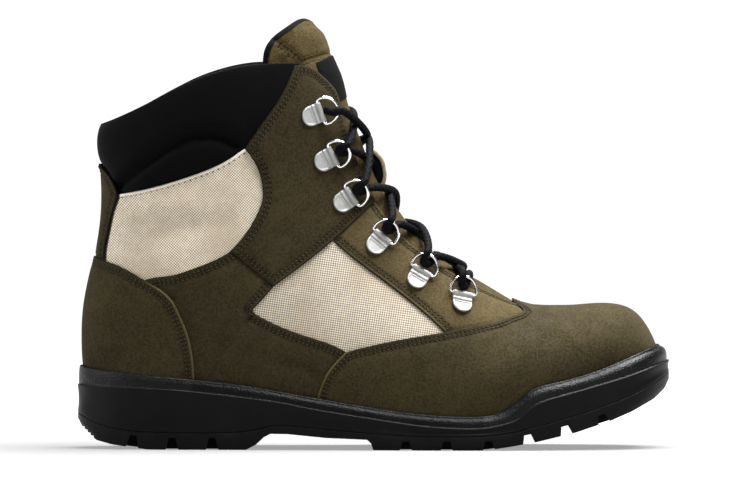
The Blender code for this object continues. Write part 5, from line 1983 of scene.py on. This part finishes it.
@dataclass
class Lace:
    """Round braided lace, crossed over the tongue through the D-rings."""

    hardware: Hardware
    radius: float = 2.02
    turn: float = 2.75
    turn_in: float = 5.2
    turns: tuple[Pair, ...] = (
        # angle round the bow, shift along it
        (60.0, 2.4), (110.0, 2.3), (160.0, 1.5), (205.0, -0.6), (250.0, -1.7), (290.0, -2.0),
    )
    over_lift: float = -0.6
    under_lift: float = -3.6
    crossings: tuple[Pair, ...] = (
        # height towards the outer side, height towards the inner side
        (174.0, 162.5), (160.5, 148.0), (135.0, 133.0), (114.8, 113.0), (96.8, 95.6),
    )
    start: Pair = (2.4, 1.2)
    lowest_bar: float = 91.5
    bar_lift: float = -2.8
    step: float = 0.42
    sides: int = 22
    strands: int = 5
    lay: float = 4.6
    relief: float = 0.26
    relief_middle: float = 0.7
    search: tuple[float, float, int] = (9.5, 26.0, 100)

    def bend(self, number: int, side: Side, way: float = 1.0) -> list[Array]:
        """Points of the lace round the bow of a ring, from over it to under it.

        Args:
            number: Number of the ring, from the top.
            side: Side of the foot.
            way: 1 where the lace comes over the ring's upper part, -1 where over its lower part.

        Returns:
            Points of the lace's middle line.
        """
        place, ahead, bar, normal = self.hardware.frame(number, side)
        out, square = self.hardware.tilted(ahead, normal)
        up = way * math.copysign(1.0, bar[2]) * bar
        found = []
        for angle, shift in self.turns:
            turn = math.radians(angle)
            reach = self.turn_in if math.cos(turn) < 0.0 else self.turn
            bow = place + out * self.hardware.bow(shift) + shift * up
            found.append(bow + reach * math.cos(turn) * out + self.turn * math.sin(turn) * square)
        return found

    def over_tongue(self, height: float, lift: float) -> Array:
        """Point over the middle of the tongue at a height of the lacing line."""
        samples = np.linspace(*self.search)
        t = np.interp(height, FORM.rows(samples)[:, RIDGE_Z], samples)
        return FORM.skin(t, np.array(0.0), -lift)

    def half(self, side: Side, lift: float) -> list[Array]:
        """Path of half the lace from a top ring down to a lowest ring.

        Args:
            side: Side of the foot on which it starts.
            lift: Distance above the leather where the halves cross.

        Returns:
            Points of the lace's middle line.
        """
        place, ahead, _, normal = self.hardware.frame(0, side)
        out, square = self.hardware.tilted(ahead, normal)
        path = [place + self.start[0] * out - self.start[1] * square, *self.bend(0, side, -1.0)[1::-1]]
        for number, heights in enumerate(self.crossings, 1):
            height = heights[side is Side.OUTER]
            side = Side.INNER if side is Side.OUTER else Side.OUTER
            path += [self.over_tongue(height, lift), *self.bend(number, side)]
        return path

    def path(self) -> Array:
        """Smooth path of the whole lace at even steps."""
        bar = self.over_tongue(self.lowest_bar, self.bar_lift)
        outer, inner = self.half(Side.OUTER, self.over_lift), self.half(Side.INNER, self.under_lift)
        knots = np.array([*outer, bar, *inner[::-1]])
        pieces = []
        ends = np.concatenate((2.0 * knots[:1] - knots[1:2], knots, 2.0 * knots[-1:] - knots[-2:-1]))
        u = np.linspace(0.0, 1.0, 16, endpoint=False)[:, None]
        for a, b, c, d in zip(ends, ends[1:], ends[2:], ends[3:]):
            gaps = [math.sqrt(np.linalg.norm(q - p)) for p, q in ((a, b), (b, c), (c, d))]
            m1 = (c - b) + gaps[1] * ((b - a) / gaps[0] - (c - a) / (gaps[0] + gaps[1]))
            m2 = (c - b) + gaps[1] * ((d - c) / gaps[2] - (d - b) / (gaps[1] + gaps[2]))
            second = 3.0 * (c - b) - 2.0 * m1 - m2
            third = 2.0 * (b - c) + m1 + m2
            pieces.append(b + u * m1 + u**2 * second + u**3 * third)
        line = np.concatenate((*pieces, knots[-1:]))
        along = lengths_along(line)
        return resampled(line, along, np.linspace(0.0, along[-1], round(along[-1] / self.step)))

    def build(self) -> None:
        """Build the lace as a tube with the relief of its braid."""
        line = self.path()
        first, second = frames_along(line)
        along = lengths_along(line)[:, None]
        angle = (np.arange(self.sides) * 2.0 * np.pi / self.sides)[None, :]
        left = np.cos(self.strands * angle + 2.0 * np.pi * along / self.lay)
        right = np.cos(self.strands * angle - 2.0 * np.pi * along / self.lay)
        radius = self.radius + self.relief * (np.maximum(left, right) - self.relief_middle)
        rings = line[:, None, :] + radius[..., None] * (
            np.cos(angle)[..., None] * first[:, None, :] + np.sin(angle)[..., None] * second[:, None, :]
        )
        piece = make_object("braided_lace", rings.reshape(-1, 3), loft(rings), (BRAID,))
        tidy_mesh(piece.data)
        declare(piece, "braid", "lace")


@dataclass
class Sole:
    """Cupped midsole, lugged outsole and footbed."""

    stations: int = 220
    rim_thick: float = 2.1
    rim_round: float = 1.2
    wall_step: float = 0.45
    tread_step: float = 0.05
    tread_draft: float = 1.4
    gap: float = 0.06
    toe_point: Pair = (146.8, 5.4)
    heel_point: Pair = (-150.6, 0.0)
    heel_notches: Floats = (-124.6, -103.8, -83.1)
    fore_notches: Floats = (16.8, 37.8, 59.6, 80.2, 99.6, 119.1)
    notch_mouth: float = 8.6
    through: Pair = (70.0, 110.0)
    notch_top: float = 3.4
    heel_rise: float = 6.2
    fore_rise: float = 4.6
    notch_reach: float = 20.0
    centre_groove: float = 3.4
    centre_rise: float = 3.6
    centre_land: float = 27.0
    bevel: tuple[Pair, Pair] = ((-151.0, 11.4), (-144.4, 5.4))
    teeth: int = 4
    tooth_size: float = 1.1
    tooth_depth: float = 2.0
    cut_below: float = 4.0
    far: float = 90.0
    insole_thick: float = 4.0
    insole_depth: float = 3.9
    insole_hollow: float = 0.8
    insole_rows: int = 110
    insole_columns: int = 26
    foot_round: tuple[Pair, ...] = ((0.8, 0.0), (0.2, 0.25), (0.0, 0.8))
    wall_hollow: float = 0.5
    ledge_round: tuple[Pair, ...] = ((1.0, 0.0), (0.5, 0.03), (0.25, 0.1), (0.12, 0.25))
    rim_shares: Floats = (0.0, 0.12, 0.3, 0.5, 0.65, 0.8, 0.9, 1.0)
    rim_flare: float = 0.85
    rim_shape: float = 3.6
    lip_angles: Floats = (18.0, 36.0, 54.0, 72.0, 90.0)
    lip_inside: tuple[Pair, ...] = ((0.45, 0.15), (0.2, 0.7), (0.1, 4.0))
    floor_drop: float = 1.2
    smooth_between: Pair = (-92.0, 58.0)
    sharp: float = 32.0
    places: Array = field(init=False)
    normals: Array = field(init=False)

    def __post_init__(self) -> None:
        """Lay the plan outline where the form meets the rim, toe to heel and back."""
        halves = []
        for side in Side:
            t = np.linspace(0.5, 20.5, 400)
            w = turn_at_rim(t, side, 0.0)
            kept = (np.abs(w) > 0.001) & (np.abs(w) < 0.999)
            halves.append(FORM.point(t[kept], w[kept])[:, :2])
        toe, heel = np.array([self.toe_point]), np.array([self.heel_point])
        loop = np.concatenate((toe, halves[0], heel, halves[1][::-1], toe))
        along = lengths_along(loop)
        half = lengths_along(np.concatenate((toe, halves[0], heel)))[-1]
        shares = np.arange(self.stations) / self.stations
        spread = np.concatenate((shares * half, half + shares * (along[-1] - half)))
        places = resampled(loop, along, spread)
        for _ in range(12):
            places = 0.5 * places + 0.25 * (np.roll(places, 1, axis=0) + np.roll(places, -1, axis=0))
        normals = square_to(np.roll(places, -1, axis=0) - np.roll(places, 1, axis=0))
        outward = np.sign(np.sum((places - places.mean(0)) * normals))
        self.places, self.normals = places, normals * outward

    def ring(self, offset: Callable[[Array], Array], height: Callable[[Array], Array]) -> Array:
        """Loop round the sole.

        Args:
            offset: Offset from the form, by x.
            height: Height, by x.

        Returns:
            Points of the loop.
        """
        x = self.places[:, 0]
        moved = self.places + self.normals * np.broadcast_to(offset(x), len(x))[:, None]
        return np.column_stack((moved, np.broadcast_to(height(moved[:, 0]), len(x))))

    def across(self, first: int, flip: bool) -> list[list[int]]:
        """Faces that close a loop across the sole.

        Args:
            first: Number of the loop's first point.
            flip: Whether the faces look the other way.

        Returns:
            Corner numbers of each face.
        """
        count = 2 * self.stations
        faces = []
        for k in range(self.stations):
            a, b, c, d = k, k + 1, (count - k - 1) % count, (count - k) % count
            corners = [first + i for i in dict.fromkeys((a, b, c, d))]
            faces.append(corners[::-1] if flip else corners)
        return faces

    def solid(self, name: str, rings: list[Array], finishes: Sequence[Finish]) -> Object:
        """Closed object from loops, bottom to top or round to the inside, closed across both ends.

        Args:
            name: Name of the piece.
            rings: Loops round the sole.
            finishes: Finishes, in the order of the faces' material numbers.

        Returns:
            Object in the scene.
        """
        points = np.array(rings)
        faces = loft(points, caps=False)
        faces += self.across(0, False) + self.across((len(rings) - 1) * 2 * self.stations, True)
        piece = make_object(name, points.reshape(-1, 3), faces, finishes)
        tidy_mesh(piece.data)
        return piece

    def midsole(self) -> None:
        """Cup with a wall, a step and a raised rim round the upper."""
        thick, soft, step = self.rim_thick, self.rim_round, self.wall_step
        rings = []
        for back, lift in self.foot_round:
            rings.append(self.ring(
                lambda x: thick + FLARE(x) - back, lambda x: TREAD_Z(x) + self.gap + lift,
            ))
        for share in (0.25, 0.5, 0.75):
            rings.append(self.ring(
                lambda x: thick + FLARE(x) - self.wall_hollow * math.sin(math.pi * share),
                lambda x: TREAD_Z(x) * (1.0 - share) + GROOVE_Z(x) * share,
            ))
        for down, back in self.ledge_round:
            rings.append(self.ring(lambda x: thick + FLARE(x) - back, lambda x: GROOVE_Z(x) - down))
        low = len(rings)
        for share in self.rim_shares:
            rings.append(self.ring(
                lambda x: thick + (self.rim_flare * FLARE(x) - step) * (1.0 - share**self.rim_shape),
                lambda x: (GROOVE_Z(x) + 0.1) * (1.0 - share) + (RIM_Z(x) - soft) * share,
            ))
        for angle in np.radians(self.lip_angles):
            rings.append(self.ring(
                lambda x: thick - soft * (1.0 - math.cos(angle)),
                lambda x: RIM_Z(x) - soft * (1.0 - math.sin(angle)),
            ))
        high = len(rings) - 1
        for out, down in self.lip_inside:
            rings.append(self.ring(lambda x: out, lambda x: RIM_Z(x) - down))
        base = FORM.rows(np.linspace(0.5, HEEL_CLOSES - 0.3, 200))
        base = base[np.argsort(base[:, BASE_X])]
        floor = lambda x: np.interp(x, base[:, BASE_X], base[:, BASE_Z]) - self.floor_drop
        rings.append(self.ring(lambda x: -1.0, lambda x: np.minimum(floor(x), RIM_Z(x) - 5.0)))
        piece = self.solid("sole_cup", rings, (RUBBER, RUBBER_GLOSS, RUBBER_STIPPLE))
        count = 2 * self.stations
        numbers = np.zeros(len(piece.data.polygons), np.int32)
        x = self.places[:, 0]
        rim = np.where((x < self.smooth_between[0]) | (x > self.smooth_between[1]), 2, 1)
        for level in range(low - 1, high):
            numbers[level * count:(level + 1) * count] = rim
        piece.data.polygons.foreach_set("material_index", numbers)
        declare(piece, "rubber", "midsole")

    def half_width(self, x: float, side: Side) -> float:
        """Width of the tread from the centre line at x."""
        half = self.places[:self.stations + 1] if side is Side.OUTER else self.places[self.stations:]
        order = np.argsort(half[:, 0])
        return abs(float(np.interp(x, half[order, 0], half[order, 1]))) + self.rim_thick + float(FLARE(x))

    def notch(self, x: float, mouth: float, top: float, rise: float) -> Array:
        """Outline of a cut that narrows upwards into the tread, square to the floor line.

        Args:
            x: Place of its middle on the floor line.
            mouth: Width a little below the floor line.
            top: Width at its top.
            rise: Height of its top above the floor line.

        Returns:
            Rows of x and z.
        """
        slope = math.atan2(FLOOR_Z(x + 5.0) - FLOOR_Z(x - 5.0), 10.0)
        low = -self.cut_below
        shape = np.array(((-mouth / 2, low), (mouth / 2, low), (top / 2, rise), (-top / 2, rise)))
        turn = np.array(((math.cos(slope), math.sin(slope)), (-math.sin(slope), math.cos(slope))))
        return shape @ turn + (x, FLOOR_Z(x))

    def cuts(self) -> list[tuple[Array, float, float]]:
        """Every cut of the tread: side-view outline and the Y it runs between."""
        found = [(np.array(ARCH_OUTLINE), -self.far, self.far)]
        for places, rise in ((self.heel_notches, self.heel_rise), (self.fore_notches, self.fore_rise)):
            for x in places:
                outline = self.notch(x, self.notch_mouth, self.notch_top, rise)
                if self.through[0] < x < self.through[1]:
                    found.append((outline, -self.far, self.far))
                    continue
                for side in Side:
                    inner_end = side.value * (self.half_width(x, side) - self.notch_reach)
                    found.append((outline, inner_end, side.value * self.far))
            for x in ((a + b) / 2.0 for a, b in zip(places, places[1:]) if b < self.through[0]):
                outline = self.notch(x, self.centre_groove, 0.7 * self.centre_groove, self.centre_rise)
                low = self.centre_land - self.half_width(x, Side.OUTER)
                found.append((outline, low, self.half_width(x, Side.INNER) - self.centre_land))
        top, low = np.array(self.bevel)
        size, deep = self.tooth_size / 2.0, -self.tooth_depth
        corners = np.array(((-size, deep), (size, deep), (size, size), (-size, size)))
        for k in range(self.teeth):
            found.append((corners + top + (low - top) * (k + 0.5) / self.teeth, -self.far, self.far))
        return found

    def outsole(self) -> None:
        """Tread layer with its arch, lugs and heel bevel."""
        full = lambda x: self.rim_thick + FLARE(x) - self.tread_step
        draft = self.tread_draft
        rings = [
            self.ring(lambda x: full(x) - draft - 0.5, FLOOR_Z),
            self.ring(lambda x: full(x) - draft - 0.1, lambda x: FLOOR_Z(x) + 0.3),
            self.ring(
                lambda x: full(x) - 0.6 * draft, lambda x: 0.8 * FLOOR_Z(x) + 0.2 * TREAD_Z(x) + 0.2,
            ),
            self.ring(full, lambda x: 0.6 * FLOOR_Z(x) + 0.4 * TREAD_Z(x)),
            self.ring(full, lambda x: TREAD_Z(x) - 0.2),
            self.ring(lambda x: full(x) - 0.12, TREAD_Z),
        ]
        piece = self.solid("tread", rings, (RUBBER,))
        points, faces = [], []
        for outline, *ends in self.cuts():
            prism = np.array([[(x, y, z) for x, z in outline] for y in sorted(ends)])
            faces += [[len(points) + corner for corner in face] for face in loft(prism)]
            points += prism.reshape(-1, 3).tolist()
        cutter = make_object("tread_cutter", np.array(points), faces, ())
        tidy_mesh(cutter.data)
        trim = piece.modifiers.new("cuts", "BOOLEAN")
        trim.operation, trim.solver, trim.object = "DIFFERENCE", "EXACT", cutter
        trim.use_self = True
        bpy.context.view_layer.update()
        seen = piece.evaluated_get(bpy.context.evaluated_depsgraph_get())
        mesh = bpy.data.meshes.new_from_object(seen)
        piece.modifiers.clear()
        piece.data = mesh
        bpy.data.objects.remove(cutter)
        mesh.set_sharp_from_angle(angle=math.radians(self.sharp))
        declare(piece, "rubber", "outsole")

    def insole(self) -> None:
        """Footbed on the floor of the cup."""
        t = np.linspace(0.35, HEEL_CLOSES - 0.45, self.insole_rows)
        section = FORM.rows(t)
        height = section[:, RIDGE_Z] - section[:, BASE_Z]
        foot, top = self.gap, self.gap + self.insole_thick
        outer, inner = [], []
        layers = ((foot, 0.99), (foot + 0.8, 1.0), (top - 1.0, 1.0), (top - 0.2, 0.985), (top, 0.96))
        for lift, squeeze in layers:
            w = np.minimum(turn_of(np.clip(1.0 - lift / height, 0.5, 1.0)), 0.999)
            sides = [FORM.skin(t, side.value * w, self.insole_depth) for side in Side]
            middle = (sides[0] + sides[1]) / 2.0
            for edges, edge in zip((outer, inner), sides):
                edges.append(middle + (edge - middle) * squeeze)
        over, under = [], []
        for a in np.linspace(0.0, 1.0, self.insole_columns)[1:-1]:
            hollow = np.array((0.0, 0.0, self.insole_hollow * np.sin(np.pi * a) ** 2))
            over.append(outer[-1] + (inner[-1] - outer[-1]) * a - hollow)
            under.append(inner[0] + (outer[0] - inner[0]) * a)
        loops = np.stack([*outer, *over, *inner[::-1], *under], axis=1)
        piece = make_object("footbed_pad", loops.reshape(-1, 3), loft(loops), (FOOTBED,))
        tidy_mesh(piece.data)
        declare(piece, "footbed", "insole")

    def build(self) -> None:
        """Build the cup, the tread and the footbed."""
        self.midsole()
        self.outsole()
        self.insole()


@dataclass
class Studio:
    """Pale floor, white backdrop, soft lights and the camera of the photograph."""

    width: float = 389.25
    distance: float = 6000.0
    elevation: float = 0.8
    aim: tuple[float, float, float] = (0.9, 0.0, 102.5)
    sensor: float = 36.0
    world: float = 0.06
    albedo: float = 0.16
    glow: float = 0.36
    glow_reach: Pair = (0.17, 0.5)
    floor_reach: float = 16.0
    backdrop_height: float = 3.0
    view_depth: float = 50.0
    lights: tuple[tuple[str, tuple[float, float, float], float, float, float], ...] = (
        # name, place in metres, width, height, watts
        ("top_box", (0.36, 0.06, 1.5), 1.5, 1.1, 124.0),
        ("front_card", (0.4, -1.9, 0.9), 1.6, 1.1, 4.0),
        ("heel_rim", (-1.25, 0.0, 0.7), 0.5, 0.9, 10.0),
    )

    def pale(self, name: str) -> bpy.types.Material:
        """White studio surface that glows, less so round the boot, where shadows show."""
        nodes = NodeTree(name)
        nodes.fixed(Base_Color=(*(self.albedo,) * 3, 1.0), Roughness=0.9, Specular_IOR_Level=0.0)
        nodes.fixed(Emission_Color=(1.0, 1.0, 1.0, 1.0))
        x, y, z = (nodes.math("POWER", part, 2.0) for part in nodes.parts(nodes.place()))
        away = nodes.math("SQRT", nodes.math("ADD", nodes.math("ADD", x, y), z))
        glow = nodes.soft(away, *self.glow_reach, self.glow, 1.0)
        nodes.drive("Emission Strength", glow)
        return nodes.material

    def sheet(self, name: str, corners: Sequence[Sequence[float]]) -> None:
        """Flat staged surface."""
        mesh = bpy.data.meshes.new(name)
        mesh.from_pydata(corners, [], [(0, 1, 2, 3)])
        mesh.materials.append(self.pale(name))
        piece = bpy.data.objects.new(name, mesh)
        bpy.context.scene.collection.objects.link(piece)

    def build(self) -> None:
        """Set up the floor, backdrop, lights, world and camera."""
        scene = bpy.context.scene
        scene.view_settings.view_transform = "Standard"
        far, high = self.floor_reach, self.backdrop_height
        self.sheet("floor", ((-far, -far, 0.0), (far, -far, 0.0), (far, far, 0.0), (-far, far, 0.0)))
        self.sheet("backdrop", ((-far, far, 0.0), (far, far, 0.0), (far, far, high), (-far, far, high)))
        world = bpy.data.worlds.new("studio")
        world.use_nodes = True
        world.node_tree.nodes["Background"].inputs["Color"].default_value = (1.0, 1.0, 1.0, 1.0)
        world.node_tree.nodes["Background"].inputs["Strength"].default_value = self.world
        scene.world = world
        target = Vector(self.aim) * MM
        for name, place, width, height, power in self.lights:
            light = bpy.data.lights.new(name, "AREA")
            light.shape, light.size, light.size_y, light.energy = "RECTANGLE", width, height, power
            holder = bpy.data.objects.new(name, light)
            holder.location = place
            holder.rotation_euler = (target - holder.location).to_track_quat("-Z", "Y").to_euler()
            scene.collection.objects.link(holder)
        lens = bpy.data.cameras.new("camera")
        lens.sensor_width, lens.lens = self.sensor, self.sensor * self.distance / self.width
        lens.clip_end = self.view_depth
        camera = bpy.data.objects.new("camera", lens)
        turn = math.radians(self.elevation)
        away = Vector((0.0, -math.cos(turn), math.sin(turn))) * self.distance * MM
        camera.location = target + away
        camera.rotation_euler = (math.pi / 2.0 - turn, 0.0, 0.0)
        scene.collection.objects.link(camera)
        scene.camera = camera


def main() -> None:
    """Build every sub-assembly in order."""
    logging.basicConfig(level=logging.INFO, format="%(message)s")
    Studio().build()
    Sole().build()
    UpperWork().build()
    Collar().build()
    Tongue().build()
    hardware = Hardware()
    hardware.build()
    Lace(hardware).build()


if __name__ == "__main__":
    main()
